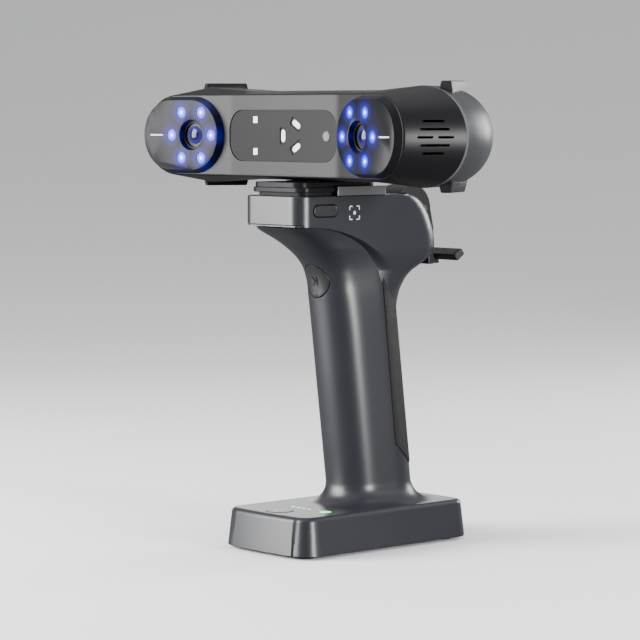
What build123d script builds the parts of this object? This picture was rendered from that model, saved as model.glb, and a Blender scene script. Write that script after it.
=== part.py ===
from build123d import *
import os
from math import acos, atan2, cos, radians, sin, sqrt, tan

os.makedirs("parts", exist_ok=True)

# Handheld structured-light scanner: a stereo head on a battery pistol grip with a phone holder.
# Frame: origin on the resting plane under the middle of the object, +Z up, the head looks along -Y.
# All sizes are in millimetres.

# ---- overall ----
OVERALL_DEPTH = 120.0          # front of the base to the back of the phone holder
HANDLE_HEIGHT = 175.0          # resting plane to the top of the handle block
MOUNT_STACK = 7.0              # handle block top to the underside of the head
WALL = 2.2                     # shell walls
RUNNING = 0.05                 # radial clearance of a moving shaft
FIT_GAP = 0.15                 # gap round a piece that drops into its seat
BUTTON_GAP = 0.25              # gap round a moving button

# ---- head ----
HEAD_LENGTH = 215.0            # over the seam of the two shells
WAIST_HALF = 22.0              # half height of the middle stretch at the seam
END_HALF = 24.1                # half height of the ends at the seam
SEAM_DEPTH = 20.0              # front face to the seam
SHOULDER_LENGTH = 29.0         # sloping stretch between the waist and an end
END_REACH = 30.0               # half length of an end's ellipse at the seam
HEAD_BACK = 60.0               # front face to the back of the head
FACE_SETBACK = 15.0            # front of the base to the front face of the head
WING_START = 40.0              # centre line to the start of the toed-in wings
TOE_IN = 9.5                   # degrees
CAMERA_SPACING = 125.0         # between the two camera axes, at the face
BEZEL_RADIUS = 19.3
BEZEL_HEIGHT = 3.6
BEZEL_BEVEL = 1.8
BEZEL_STRETCH = 14.0           # how much longer the bezel is on its outer side
LENS_RECESS_RADIUS = 7.55
LENS_RADIUS = 5.9
BARREL_RADIUS = 7.0
BARREL_LENGTH = 16.0
LED_COUNT = 6
LED_CIRCLE_RADIUS = 13.1
LED_RADIUS = 2.8
MARK_LENGTH = 8.5
MARK_OFFSET = 23.1             # camera axis to the middle of the mark
MARK_WIDTH = 0.8
PANEL_HALF_LENGTH = 39.8
PANEL_HALF_HEIGHT = 12.4
PANEL_CORNER = 9.6
PANEL_THICKNESS = 1.0
PANEL_RECESS = 0.3             # panel front face behind the head's front face
LASER_X = 6.7
LASER_CIRCLE_RADIUS = 6.5
LASER_WINDOW = (8.4, 4.5)
FILL_LED_X = -20.8
FILL_LED_Z = 7.8
FILL_LED_SIDE = 3.2
SENSOR_X = 31.6
SENSOR_RADIUS = 2.3
VENT_PITCH = 3.72
VENT_WIDTH = 1.15
VENT_LENGTHS = (7.5, 13.8, 10.1)       # middle row, next rows, outer rows
VENT_SHIFTS = ((-4.85, 4.85), (0,), (0,))
VENT_MIDDLE = 5.5              # front face to the middle of the vents
VENT_START = 90.0              # the vents are cut outwards from here

# ---- handle ----
BLOCK_WIDTH = 43.0
BLOCK_FRONT = 7.0              # front of the base to the front of the block
BLOCK_CORNER = 7.5
BLOCK_SKIRT = 14.0             # height of the block at its front
GRIP_WIDTH = 35.0
GRIP_DEPTH = 45.0
GRIP_LEAN = 7.0                # degrees, the foot of the grip is further back
GRIP_SETBACK = 41.2            # front of the base to the front of the grip, at mid height
GRIP_NOSE = 12.0
GRIP_HEEL = 13.0
DECK_THICKNESS = 2.5
INSERT_THICKNESS = 2.0
BUTTON_RADIUS = 8.2
BUTTON_TRAVEL = 1.2
SCAN_DROP = 42.6               # block top to the centre of the scan button
RELEASE_SIZE = (15.4, 5.6)
RELEASE_TRAVEL = 1.5
CELL_RADIUS = 9.2
CELL_LENGTH = 65.0

# ---- base ----
BASE_WIDTH = 64.0
BASE_LENGTH = 114.0
BASE_HEIGHT = 18.8             # underside of the shell to its flat top
BASE_DRAFT = 2.2               # how much the top outline is inside the bottom one
BASE_CORNER = 9.0
BASE_BOW = 1.8                 # bulge of the front edge
NECK_FLARE = 11.0
FOOT_RADIUS = 6.0
FOOT_HEIGHT = 3.0
FOOT_STANDOFF = 1.5            # rubber feet below the base cover
COVER_THICKNESS = 2.0
POWER_RADIUS = 6.6
POWER_TRAVEL = 0.6

# ---- phone holder ----
HINGE_RADIUS = 12.0
HINGE_PIN_RADIUS = 2.0
HINGE_DROP = 8.0               # block top to the hinge axis
HINGE_SETBACK = 95.5           # front of the base to the hinge axis
ARM_HALF = 8.0
JAW_HALF = 18.0
JAW_TRAVEL = 12.0

# ---- places that follow from the sizes above ----
FRONT = -OVERALL_DEPTH / 2
FACE_Y = FRONT + FACE_SETBACK
HEAD_Z = HANDLE_HEIGHT + MOUNT_STACK + WAIST_HALF
SEAM_Y = FACE_Y + SEAM_DEPTH
TOE = radians(TOE_IN)
RING_X = CAMERA_SPACING / 2
RING_DEPTH = (RING_X - WING_START) * tan(TOE)
LEAN = tan(radians(GRIP_LEAN))
GRIP_MID_Z = HANDLE_HEIGHT - 81.0
BASE_Z = FOOT_STANDOFF
BASE_TOP = BASE_Z + BASE_HEIGHT
BASE_MID_Y = FRONT + BASE_LENGTH / 2


def across(depth):
    """Plane across the head, depth behind its front face; local x is +X and local y is +Z."""
    return Plane(origin=(0, FACE_Y + depth, HEAD_Z), x_dir=(1, 0, 0), z_dir=(0, -1, 0))


def wing(side, proud=0.0):
    """Plane of a wing, centred on its camera axis; local x points outboard, proud is forward."""
    out = Vector(side * cos(TOE), -sin(TOE), 0)
    normal = Vector(-side * sin(TOE), -cos(TOE), 0)
    ring = Vector(side * RING_X, FACE_Y - RING_DEPTH, HEAD_Z)
    return Plane(origin=ring + normal * proud, x_dir=out, z_dir=normal)


def grip_front(z):
    return FRONT + GRIP_SETBACK + LEAN * (GRIP_MID_Z - z)


def head_outline(depth, length, waist, end, inset=0.0, reach=END_REACH):
    """Sketch across the head: flat waist, sloping shoulders and elliptical ends."""
    half = length / 2 - inset
    waist = waist - inset
    end = end - inset
    centre = length / 2 - reach
    shoulder = centre - SHOULDER_LENGTH
    with BuildSketch(across(depth)) as outline:
        with BuildLine():
            Line((-shoulder, waist), (shoulder, waist))
            Line((shoulder, waist), (centre, end))
            EllipticalCenterArc((centre, 0), half - centre, end, start_angle=-90, arc_size=180)
            Line((centre, -end), (shoulder, -waist))
            Line((shoulder, -waist), (-shoulder, -waist))
            Line((-shoulder, -waist), (-centre, -end))
            EllipticalCenterArc((-centre, 0), half - centre, end, start_angle=90, arc_size=180)
            Line((-centre, end), (-shoulder, waist))
        make_face()
    return outline.sketch


def oval(z, front, rear, half, nose_half, nose, heel):
    """Horizontal outline: two nose arcs and two heel arcs joined by straight tangents."""
    run = (rear - heel) - (front + nose)
    spread = (half - heel) - nose_half
    tilt = atan2(run, spread) - acos((nose - heel) / sqrt(run * run + spread * spread))
    turn = (tilt - radians(90)) / 2
    rise = (tilt + radians(90)) / 2
    side = half - heel

    def on_nose(angle):
        return nose_half + nose * cos(angle), front + nose + nose * sin(angle)

    def on_heel(angle):
        return side + heel * cos(angle), rear - heel + heel * sin(angle)

    def left(point):
        return -point[0], point[1]

    with BuildSketch(Plane.XY.offset(z)) as outline:
        with BuildLine():
            Line((-nose_half, front), (nose_half, front))
            ThreePointArc((nose_half, front), on_nose(turn), on_nose(tilt))
            Line(on_nose(tilt), on_heel(tilt))
            ThreePointArc(on_heel(tilt), on_heel(rise), (side, rear))
            Line((side, rear), (-side, rear))
            ThreePointArc((-side, rear), left(on_heel(rise)), left(on_heel(tilt)))
            Line(left(on_heel(tilt)), left(on_nose(tilt)))
            ThreePointArc(left(on_nose(tilt)), left(on_nose(turn)), (-nose_half, front))
        make_face()
    return outline.sketch


def grip_oval(z, inset=0.0, grow=0.0):
    """Section of the grip at height z, moved in by inset and out by grow."""
    return oval(
        z,
        grip_front(z) + inset - grow,
        grip_front(z) + GRIP_DEPTH - inset + grow,
        GRIP_WIDTH / 2 - inset + grow,
        1.0,
        GRIP_NOSE - inset + grow,
        GRIP_HEEL - inset + grow,
    )


def base_outline(z, inset):
    """Rounded rectangle of the base with its front edge bowed forwards."""
    half = BASE_WIDTH / 2 - inset
    front = FRONT + inset
    rear = FRONT + BASE_LENGTH - inset
    with BuildSketch(Plane.XY.offset(z)) as outline:
        with BuildLine():
            ThreePointArc((-half, front + BASE_BOW), (0, front), (half, front + BASE_BOW))
            Line((half, front + BASE_BOW), (half, rear))
            Line((half, rear), (-half, rear))
            Line((-half, rear), (-half, front + BASE_BOW))
        make_face()
        fillet(outline.vertices(), BASE_CORNER - inset)
    return outline.sketch


# ======================= head shells =======================
FRONT_LENGTH = HEAD_LENGTH - 28.0      # length of the head outline at its foremost plane
FRONT_HALF = 18.6                      # its half height there
FRONT_REACH = 19.0                     # half length of its end's ellipse there
NOSE_DEPTH = -16.0                     # that plane is ahead of the wings


def front_outlines(inset):
    """Outlines of the front cover's tapering block, from ahead of the wings to the seam."""
    return [
        head_outline(NOSE_DEPTH, FRONT_LENGTH, FRONT_HALF + 0.4, FRONT_HALF, inset, FRONT_REACH),
        head_outline(SEAM_DEPTH, HEAD_LENGTH, WAIST_HALF, END_HALF, inset),
    ]


def wing_plan(recess):
    """Plan of the head behind its front face and wings, moved back by recess."""
    reach = HEAD_LENGTH
    tip = (reach - WING_START) * tan(TOE)
    front = FACE_Y + recess
    with BuildSketch(Plane.XY.offset(HEAD_Z - 2 * END_HALF)) as plan:
        Polygon(
            (-WING_START, front), (WING_START, front), (reach, front - tip),
            (reach, SEAM_Y), (-reach, SEAM_Y), (-reach, front - tip), align=None,
        )
    return plan.sketch


with BuildPart() as face_prism:
    extrude(wing_plan(0), amount=4 * END_HALF)

with BuildPart() as cavity_prism:
    extrude(wing_plan(WALL), amount=4 * END_HALF)

with BuildPart() as front_cavity:
    loft(front_outlines(WALL), ruled=True)
    add(cavity_prism.part, mode=Mode.INTERSECT)

with BuildPart() as front_cover:
    loft(front_outlines(0), ruled=True)
    add(face_prism.part, mode=Mode.INTERSECT)
    add(front_cavity.part, mode=Mode.SUBTRACT)
    with BuildSketch(across(-BEZEL_RADIUS)):
        RectangleRounded(
            2 * (PANEL_HALF_LENGTH + FIT_GAP), 2 * (PANEL_HALF_HEIGHT + FIT_GAP), PANEL_CORNER + FIT_GAP
        )
    extrude(amount=-(BEZEL_RADIUS + PANEL_RECESS + PANEL_THICKNESS), mode=Mode.SUBTRACT)
    with BuildSketch(across(0)):
        RectangleRounded(
            2 * (PANEL_HALF_LENGTH - 3), 2 * (PANEL_HALF_HEIGHT - 3), PANEL_CORNER - 3
        )
    extrude(amount=-2 * WALL, mode=Mode.SUBTRACT)
    for side in (1, -1):
        with BuildSketch(wing(side)):
            Circle(BARREL_RADIUS + 1.0)
            with PolarLocations(LED_CIRCLE_RADIUS, LED_COUNT):
                Circle(LED_RADIUS + 0.4)
        extrude(amount=-3 * WALL, mode=Mode.SUBTRACT)
    for side in (1, -1):
        with BuildSketch(Plane.YZ.offset(side * VENT_START)):
            for row in range(-2, 3):
                for shift in VENT_SHIFTS[abs(row)]:
                    with Locations((FACE_Y + VENT_MIDDLE + shift, HEAD_Z + row * VENT_PITCH)):
                        SlotOverall(VENT_LENGTHS[abs(row)], VENT_WIDTH)
        extrude(amount=side * HEAD_LENGTH, mode=Mode.SUBTRACT)
front_cover.part.label = "front_cover"
export_step(front_cover.part, "parts/front_cover.step")

REAR_STATIONS = (               # depth, length and half height of the rear shell's outline
    (SEAM_DEPTH, 0.0, 0.0),
    (HEAD_BACK - 22, 9.0, 0.5),
    (HEAD_BACK - 8, 30.0, 1.6),
    (HEAD_BACK - 2, 48.0, 4.0),
    (HEAD_BACK, 58.0, 7.0),
)


def rear_outlines(inset):
    """Outlines of the rear shell: the seam outline, shrinking towards the back."""
    outlines = []
    for depth, shorter, lower in REAR_STATIONS:
        back = inset if depth == HEAD_BACK else 0.0
        outlines.append(
            head_outline(depth - back, HEAD_LENGTH - shorter, WAIST_HALF - lower, END_HALF - lower, inset)
        )
    return outlines


with BuildPart() as rear_block:
    loft(rear_outlines(0), ruled=True)

with BuildPart() as rear_cavity:
    loft(rear_outlines(WALL), ruled=True)

PORT_SIZE = (9.6, 3.8)
PORT_Z = -10.0
STATUS_RADIUS = 4.0

with BuildPart() as rear_shell:
    add(rear_block.part)
    add(rear_cavity.part, mode=Mode.SUBTRACT)
    with BuildSketch(across(HEAD_BACK + 1)):
        with Locations((0, PORT_Z)):
            SlotOverall(PORT_SIZE[0] + 2 * FIT_GAP, PORT_SIZE[1] + 2 * FIT_GAP)
        with Locations((0, -PORT_Z / 2)):
            Circle(STATUS_RADIUS + BUTTON_GAP)
    extrude(amount=2 * WALL, mode=Mode.SUBTRACT)
rear_shell.part.label = "rear_shell"
export_step(rear_shell.part, "parts/rear_shell.step")

# bumpers: four bevelled bars behind the seam, two above and two below
BUMPER_TOP = 26.3
BUMPER_LENGTH = 21.0
BUMPER_WIDTH = 5.0
with BuildPart() as head_bumpers:
    for side in (1, -1):
        for level in (1, -1):
            with BuildSketch(
                Plane(
                    origin=(side * 84.0, FACE_Y + SEAM_DEPTH + 14.0, HEAD_Z + level * BUMPER_TOP),
                    x_dir=(-side * sin(radians(27)), cos(radians(27)), 0),
                    z_dir=(0, 0, level),
                )
            ):
                Rectangle(BUMPER_LENGTH, BUMPER_WIDTH)
            extrude(amount=-2 * BUMPER_WIDTH, taper=-12)
    add(rear_block.part, mode=Mode.SUBTRACT)
head_bumpers.part.label = "head_bumpers"
export_step(head_bumpers.part, "parts/head_bumpers.step")

# ======================= face of the head =======================
LASER_ANGLES = (180, 60, -60)
SEAT = PANEL_RECESS + PANEL_THICKNESS


def laser_slots(size):
    """The three slot windows round the projector's axis."""
    for angle in LASER_ANGLES:
        place = Vector(LASER_X, 0) + Vector(LASER_CIRCLE_RADIUS, 0).rotate(Axis.Z, angle)
        with Locations(Location((place.X, place.Y), angle + 90)):
            RectangleRounded(size[0], size[1], 0.9)


with BuildPart() as centre_panel:
    with BuildSketch(across(PANEL_RECESS)):
        RectangleRounded(2 * PANEL_HALF_LENGTH, 2 * PANEL_HALF_HEIGHT, PANEL_CORNER)
        with BuildSketch(mode=Mode.SUBTRACT):
            laser_slots(LASER_WINDOW)
        with Locations((FILL_LED_X, FILL_LED_Z), (FILL_LED_X, -FILL_LED_Z)):
            Rectangle(FILL_LED_SIDE + 0.2, FILL_LED_SIDE + 0.2, mode=Mode.SUBTRACT)
        with Locations((SENSOR_X, 0)):
            Circle(SENSOR_RADIUS + 0.1, mode=Mode.SUBTRACT)
    extrude(amount=-PANEL_THICKNESS)
centre_panel.part.label = "centre_panel"
export_step(centre_panel.part, "parts/centre_panel.step")

with BuildPart() as laser_windows:
    with BuildSketch(across(PANEL_RECESS + 0.3)):
        laser_slots((LASER_WINDOW[0] - 0.2, LASER_WINDOW[1] - 0.2))
    extrude(amount=-PANEL_THICKNESS)
laser_windows.part.label = "laser_windows"
export_step(laser_windows.part, "parts/laser_windows.step")

MODULE_GAP = 0.2
LASER_BOX = (26.0, 22.0, 14.0)
with BuildPart() as laser_module:
    with BuildSketch(across(WALL + MODULE_GAP)):
        with Locations((LASER_X, 0)):
            RectangleRounded(LASER_BOX[0], LASER_BOX[1], 2.0)
    extrude(amount=-LASER_BOX[2])
laser_module.part.label = "laser_module"
export_step(laser_module.part, "parts/laser_module.step")

with BuildPart() as fill_leds:
    with BuildSketch(across(PANEL_RECESS + 0.2)):
        with Locations((FILL_LED_X, FILL_LED_Z), (FILL_LED_X, -FILL_LED_Z)):
            Rectangle(FILL_LED_SIDE, FILL_LED_SIDE)
    extrude(amount=-PANEL_THICKNESS)
fill_leds.part.label = "fill_leds"
export_step(fill_leds.part, "parts/fill_leds.step")

BOARD = 1.2
with BuildPart() as fill_led_board:
    with BuildSketch(across(SEAT + MODULE_GAP)):
        with Locations((FILL_LED_X, 0)):
            Rectangle(8.0, 2 * FILL_LED_Z + 2.6)
    extrude(amount=-BOARD)
fill_led_board.part.label = "fill_led_board"
export_step(fill_led_board.part, "parts/fill_led_board.step")

with BuildPart() as colour_sensor:
    with BuildSketch(across(PANEL_RECESS + 0.1)):
        with Locations((SENSOR_X, 0)):
            Circle(SENSOR_RADIUS)
    extrude(amount=-(PANEL_THICKNESS + MODULE_GAP))
    with BuildSketch(across(SEAT + MODULE_GAP)):
        with Locations((SENSOR_X, 0)):
            RectangleRounded(8.0, 8.0, 1.0)
    extrude(amount=-6.0)
colour_sensor.part.label = "colour_sensor"
export_step(colour_sensor.part, "parts/colour_sensor.step")

# ======================= cameras, one set on each wing =======================
CAMERA_BOX = 26.0
CAMERA_DEPTH = 12.0
RING_GAP = 0.1
sides = {"right": 1, "left": -1}


def on_ring(plane, depth, radius, sketch_mode=Mode.ADD):
    """Cuts or adds one disc at each LED place, from plane inwards by depth."""
    with BuildSketch(plane) as discs:
        with PolarLocations(LED_CIRCLE_RADIUS, LED_COUNT):
            Circle(radius)
    return extrude(discs.sketch, amount=-depth, mode=sketch_mode)


for name, side in sides.items():
    face = wing(side, BEZEL_HEIGHT)
    with BuildPart() as bezel:
        with BuildSketch(wing(side)):
            with Locations((BEZEL_STRETCH / 2, 0)):
                SlotCenterToCenter(BEZEL_STRETCH, 2 * BEZEL_RADIUS)
        with BuildSketch(face):
            with Locations((BEZEL_STRETCH / 2, 0)):
                SlotCenterToCenter(BEZEL_STRETCH, 2 * (BEZEL_RADIUS - BEZEL_BEVEL))
        loft(ruled=True)
        with BuildSketch(face):
            Circle(LENS_RECESS_RADIUS)
        with BuildSketch(wing(side, BEZEL_HEIGHT - 2.6)):
            Circle(BARREL_RADIUS + RING_GAP)
        loft(ruled=True, mode=Mode.SUBTRACT)
        with BuildSketch(face):
            Circle(BARREL_RADIUS + RING_GAP)
        extrude(amount=-BEZEL_HEIGHT, mode=Mode.SUBTRACT)
        on_ring(face, BEZEL_HEIGHT, LED_RADIUS + RING_GAP, Mode.SUBTRACT)
        with BuildSketch(face):
            with Locations((MARK_OFFSET, 0)):
                Rectangle(MARK_LENGTH, MARK_WIDTH)
        extrude(amount=-0.2, mode=Mode.SUBTRACT)
    bezel.part.label = f"{name}_bezel"
    export_step(bezel.part, f"parts/{name}_bezel.step")

    with BuildPart() as led_windows:
        on_ring(wing(side, BEZEL_HEIGHT - 0.3), BEZEL_HEIGHT - 0.3, LED_RADIUS)
    led_windows.part.label = f"{name}_led_windows"
    export_step(led_windows.part, f"parts/{name}_led_windows.step")

    with BuildPart() as led_board:
        with BuildSketch(wing(side, -WALL - MODULE_GAP)):
            Circle(LED_CIRCLE_RADIUS + LED_RADIUS + 1.0)
            Circle(BARREL_RADIUS + 0.6, mode=Mode.SUBTRACT)
        extrude(amount=-BOARD)
        on_ring(wing(side, -0.6), WALL + MODULE_GAP - 0.6, 1.4)
    led_board.part.label = f"{name}_led_board"
    export_step(led_board.part, f"parts/{name}_led_board.step")

    with BuildPart() as barrel:
        with BuildSketch(wing(side, BEZEL_HEIGHT - 2.6)):
            Circle(BARREL_RADIUS)
        extrude(amount=-BARREL_LENGTH)
        with BuildSketch(wing(side, BEZEL_HEIGHT - 2.6)):
            Circle(LENS_RADIUS + RING_GAP)
        extrude(amount=-3.0, mode=Mode.SUBTRACT)
    barrel.part.label = f"{name}_lens_barrel"
    export_step(barrel.part, f"parts/{name}_lens_barrel.step")

    with BuildPart() as lens:
        with BuildSketch(wing(side, BEZEL_HEIGHT - 3.0)):
            Circle(LENS_RADIUS)
        extrude(amount=-2.6)
        fillet(lens.edges().filter_by(GeomType.CIRCLE), 0.8)
    lens.part.label = f"{name}_lens"
    export_step(lens.part, f"parts/{name}_lens.step")

    with BuildPart() as camera:
        with BuildSketch(wing(side, BEZEL_HEIGHT - 2.6 - BARREL_LENGTH)):
            RectangleRounded(CAMERA_BOX, CAMERA_BOX, 2.0)
        extrude(amount=-CAMERA_DEPTH)
    camera.part.label = f"{name}_camera"
    export_step(camera.part, f"parts/{name}_camera.step")

# ======================= inside of the head =======================
FRAME_THICKNESS = 3.0
FRAME_DEPTH = 33.0
FRAME_HALF = 16.0
SCREW_RADIUS = 1.25
BOARD_DEPTH = 46.0
camera_back = BEZEL_HEIGHT - 2.6 - BARREL_LENGTH - CAMERA_DEPTH


def plan_point(side, along, proud):
    """Plan position of a point on a wing's plane."""
    place = wing(side, proud).origin + wing(side).x_dir * along
    return place.X, place.Y


with BuildPart() as optical_frame:
    for side in (1, -1):
        inner = plan_point(side, -CAMERA_BOX / 2, camera_back)
        outer = plan_point(side, CAMERA_BOX / 2, camera_back)
        back = FACE_Y + FRAME_DEPTH + FRAME_THICKNESS
        with BuildSketch(Plane.XY.offset(HEAD_Z - FRAME_HALF)):
            Polygon(inner, outer, (outer[0], back), (inner[0], back), align=None)
        extrude(amount=2 * FRAME_HALF)
    with BuildSketch(across(FRAME_DEPTH)):
        Rectangle(2 * RING_X, 2 * FRAME_HALF)
        with GridLocations(20.0, 0, 3, 1):
            Circle(6.0, mode=Mode.SUBTRACT)
    extrude(amount=-FRAME_THICKNESS)
optical_frame.part.label = "optical_frame"
export_step(optical_frame.part, "parts/optical_frame.step")

BOARD_HALF = (76.0, 15.0)
POST_RADIUS = 2.5
POSTS = (HEAD_LENGTH / 2 - 42.0, 11.0)
with BuildPart() as main_board:
    with BuildSketch(across(BOARD_DEPTH)):
        Rectangle(2 * BOARD_HALF[0], 2 * BOARD_HALF[1])
    extrude(amount=-BOARD)
    with BuildSketch(across(BOARD_DEPTH)):
        with Locations((-40, 2), (30, -3)):
            Rectangle(14.0, 14.0)
    extrude(amount=1.4)
main_board.part.label = "main_board"
export_step(main_board.part, "parts/main_board.step")

with BuildPart() as board_standoffs:
    with BuildSketch(across(FRAME_DEPTH + FRAME_THICKNESS)):
        with GridLocations(2 * POSTS[0] - 20.0, 2 * POSTS[1], 2, 2):
            Circle(POST_RADIUS)
    extrude(amount=-(BOARD_DEPTH - FRAME_DEPTH - FRAME_THICKNESS))
board_standoffs.part.label = "board_standoffs"
export_step(board_standoffs.part, "parts/board_standoffs.step")

FIN_COUNT = 9
with BuildPart() as heat_sink:
    with BuildSketch(across(BOARD_DEPTH + BOARD)):
        Rectangle(60.0, 24.0)
    extrude(amount=-2.0)
    with BuildSketch(across(BOARD_DEPTH + BOARD + 2.0)):
        with GridLocations(7.0, 0, FIN_COUNT, 1):
            Rectangle(1.4, 24.0)
    extrude(amount=-5.0)
heat_sink.part.label = "heat_sink"
export_step(heat_sink.part, "parts/heat_sink.step")

with BuildPart() as head_port:
    with BuildSketch(across(HEAD_BACK - 4.0)):
        with Locations((0, PORT_Z)):
            SlotOverall(PORT_SIZE[0], PORT_SIZE[1])
            SlotOverall(PORT_SIZE[0] - 1.0, PORT_SIZE[1] - 1.0, mode=Mode.SUBTRACT)
    extrude(amount=-4.0)
    with BuildSketch(across(HEAD_BACK - 4.0)):
        with Locations((0, PORT_Z)):
            SlotOverall(PORT_SIZE[0], PORT_SIZE[1])
    extrude(amount=1.0)
head_port.part.label = "head_port"
export_step(head_port.part, "parts/head_port.step")

with BuildPart() as head_status_light:
    with BuildSketch(across(HEAD_BACK - WALL)):
        with Locations((0, -PORT_Z / 2)):
            Circle(STATUS_RADIUS)
    extrude(amount=-(WALL - 0.3))
head_status_light.part.label = "head_status_light"
export_step(head_status_light.part, "parts/head_status_light.step")

# ======================= mount between the head and the handle =======================
PLATE_HALF = 18.0
PLATE_FRONT = FACE_Y - 5.0
PLATE_LENGTH = 52.0
PLATE_THICKNESS = 2.5
STUD_RADIUS = 3.175            # 1/4 inch camera thread
PLATE_MID_Y = PLATE_FRONT + PLATE_LENGTH / 2
DOVETAIL_THICKNESS = MOUNT_STACK - PLATE_THICKNESS - 2.1

with BuildPart() as head_plate:
    with BuildSketch(Plane.XY.offset(HEAD_Z - WAIST_HALF - PLATE_THICKNESS - 0.4)):
        with Locations((0, PLATE_MID_Y)):
            RectangleRounded(2 * PLATE_HALF, PLATE_LENGTH, 6.0)
    extrude(amount=PLATE_THICKNESS)
    with BuildSketch(Plane.XY.offset(HEAD_Z - WAIST_HALF - 0.4)):
        with Locations((0, SEAM_Y + 4)):
            RectangleRounded(2 * PLATE_HALF - 8, 22.0, 3.0)
    extrude(amount=0.4)
    with Locations((0, PLATE_MID_Y, HEAD_Z)):
        Hole(STUD_RADIUS + RUNNING)
head_plate.part.label = "head_plate"
export_step(head_plate.part, "parts/head_plate.step")

with BuildPart() as quick_release_plate:
    with BuildSketch(Plane.XY.offset(HANDLE_HEIGHT + 2.1 - 0.4)):
        with Locations((0, PLATE_MID_Y)):
            RectangleRounded(2 * PLATE_HALF + 3.0, PLATE_LENGTH, 6.0)
    extrude(amount=DOVETAIL_THICKNESS)
    with Locations((0, PLATE_MID_Y, HEAD_Z)):
        Hole(STUD_RADIUS + RUNNING)
quick_release_plate.part.label = "quick_release_plate"
export_step(quick_release_plate.part, "parts/quick_release_plate.step")

with BuildPart() as release_socket:
    with BuildSketch(Plane.XY.offset(HANDLE_HEIGHT)):
        with Locations((0, PLATE_MID_Y)):
            RectangleRounded(2 * PLATE_HALF - 1.0, PLATE_LENGTH - 5.0, 5.0)
    extrude(amount=2.1 - 0.4)
    with Locations((0, PLATE_MID_Y, HEAD_Z)):
        Hole(STUD_RADIUS + RUNNING)
release_socket.part.label = "release_socket"
export_step(release_socket.part, "parts/release_socket.step")

STRIP_LENGTH = 32.0
with BuildPart() as clamp_strips:
    with BuildSketch(Plane.XY.offset(HANDLE_HEIGHT)):
        with Locations((PLATE_HALF + 2.7, FACE_Y + 17.0 + STRIP_LENGTH / 2)):
            Rectangle(2.0, STRIP_LENGTH)
        with Locations((-PLATE_HALF - 2.7, FACE_Y + 17.0 + STRIP_LENGTH / 2)):
            Rectangle(2.0, STRIP_LENGTH)
    extrude(amount=MOUNT_STACK - PLATE_THICKNESS)
clamp_strips.part.label = "clamp_strips"
export_step(clamp_strips.part, "parts/clamp_strips.step")

with BuildPart() as mount_screw:
    with BuildSketch(Plane.XY.offset(HANDLE_HEIGHT - DECK_THICKNESS - 4.0)):
        with Locations((0, PLATE_MID_Y)):
            Circle(6.0)
    extrude(amount=4.0)
    with BuildSketch(Plane.XY.offset(HANDLE_HEIGHT - DECK_THICKNESS)):
        with Locations((0, PLATE_MID_Y)):
            Circle(STUD_RADIUS)
    extrude(amount=DECK_THICKNESS + MOUNT_STACK - 0.6)
mount_screw.part.label = "mount_screw"
export_step(mount_screw.part, "parts/mount_screw.step")

# ======================= handle body =======================
BLOCK_Y = FRONT + BLOCK_FRONT
BLOCK_HALF = BLOCK_WIDTH / 2
HEEL_CORNER = 14.0
SLAB_STATIONS = (       # drop below the block top, set behind the grip's back, narrower than the block
    (0.0, 21.2, 0.0),
    (13.0, 24.0, 0.0),
    (19.0, 25.5, 0.0),
    (24.0, 25.9, 0.1),
    (29.0, 24.7, 0.2),
    (34.0, 19.1, 0.9),
    (39.0, 10.5, 1.8),
    (46.0, 4.6, 3.0),
    (53.0, 1.8, 3.7),
    (66.0, -0.3, 4.2),
)
FLARE_STATIONS = (      # drop, set ahead of the grip's front, half width beyond the grip's, nose corner
    (15.0, 25.3, 2.8, 7.6),
    (17.0, 23.8, 2.1, 8.4),
    (19.5, 19.6, 1.3, 9.8),
    (22.0, 15.3, 0.7, 11.0),
    (25.5, 10.1, 0.3, 11.7),
    (29.5, 5.9, 0.1, 12.0),
    (35.0, 2.3, 0.0, 12.0),
    (41.5, 0.6, 0.0, 12.0),
    (51.0, 0.2, 0.0, 12.0),
    (63.0, 0.0, 0.0, 12.0),
)
CREASE = ((33.4, 20.2), (43.4, 25.1), (48.7, 30.0), (51.1, 37.5))   # set back, drop
CREASE_FOOT = (51.4, 62.0)
CREASE_START = (16.0, 15.4)
TOP_CORNER = 7.0
NECK_ANGLES = (0, 20, 40, 58, 74)
NOSE_HALF = 1.0


def slab_outline(drop, back, narrow):
    """Section of the block's slab, which narrows into the back of the grip."""
    z = HANDLE_HEIGHT - drop
    half = BLOCK_HALF - narrow * (BLOCK_WIDTH - GRIP_WIDTH) / 8.0
    rear = grip_front(z) + GRIP_DEPTH + back
    heel = HEEL_CORNER - narrow / 4.0
    return oval(z, BLOCK_Y, rear, half, half - BLOCK_CORNER, BLOCK_CORNER, heel)


def flare_outline(drop, ahead, wider, nose):
    """Section of the grip's front where it flares forwards under the block."""
    z = HANDLE_HEIGHT - drop
    front = grip_front(z)
    half = GRIP_WIDTH / 2 + wider
    nose_half = min(half - nose - 0.1, NOSE_HALF + ahead / 2)
    return oval(z, front - ahead, front + GRIP_DEPTH, half, nose_half, nose, GRIP_HEEL)


def neck_outline(angle):
    """Section of the neck, a round flare from the grip onto the top of the base."""
    turn = radians(angle)
    return grip_oval(BASE_TOP + NECK_FLARE * (1 - sin(turn)), grow=NECK_FLARE * (1 - cos(turn)))


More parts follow.
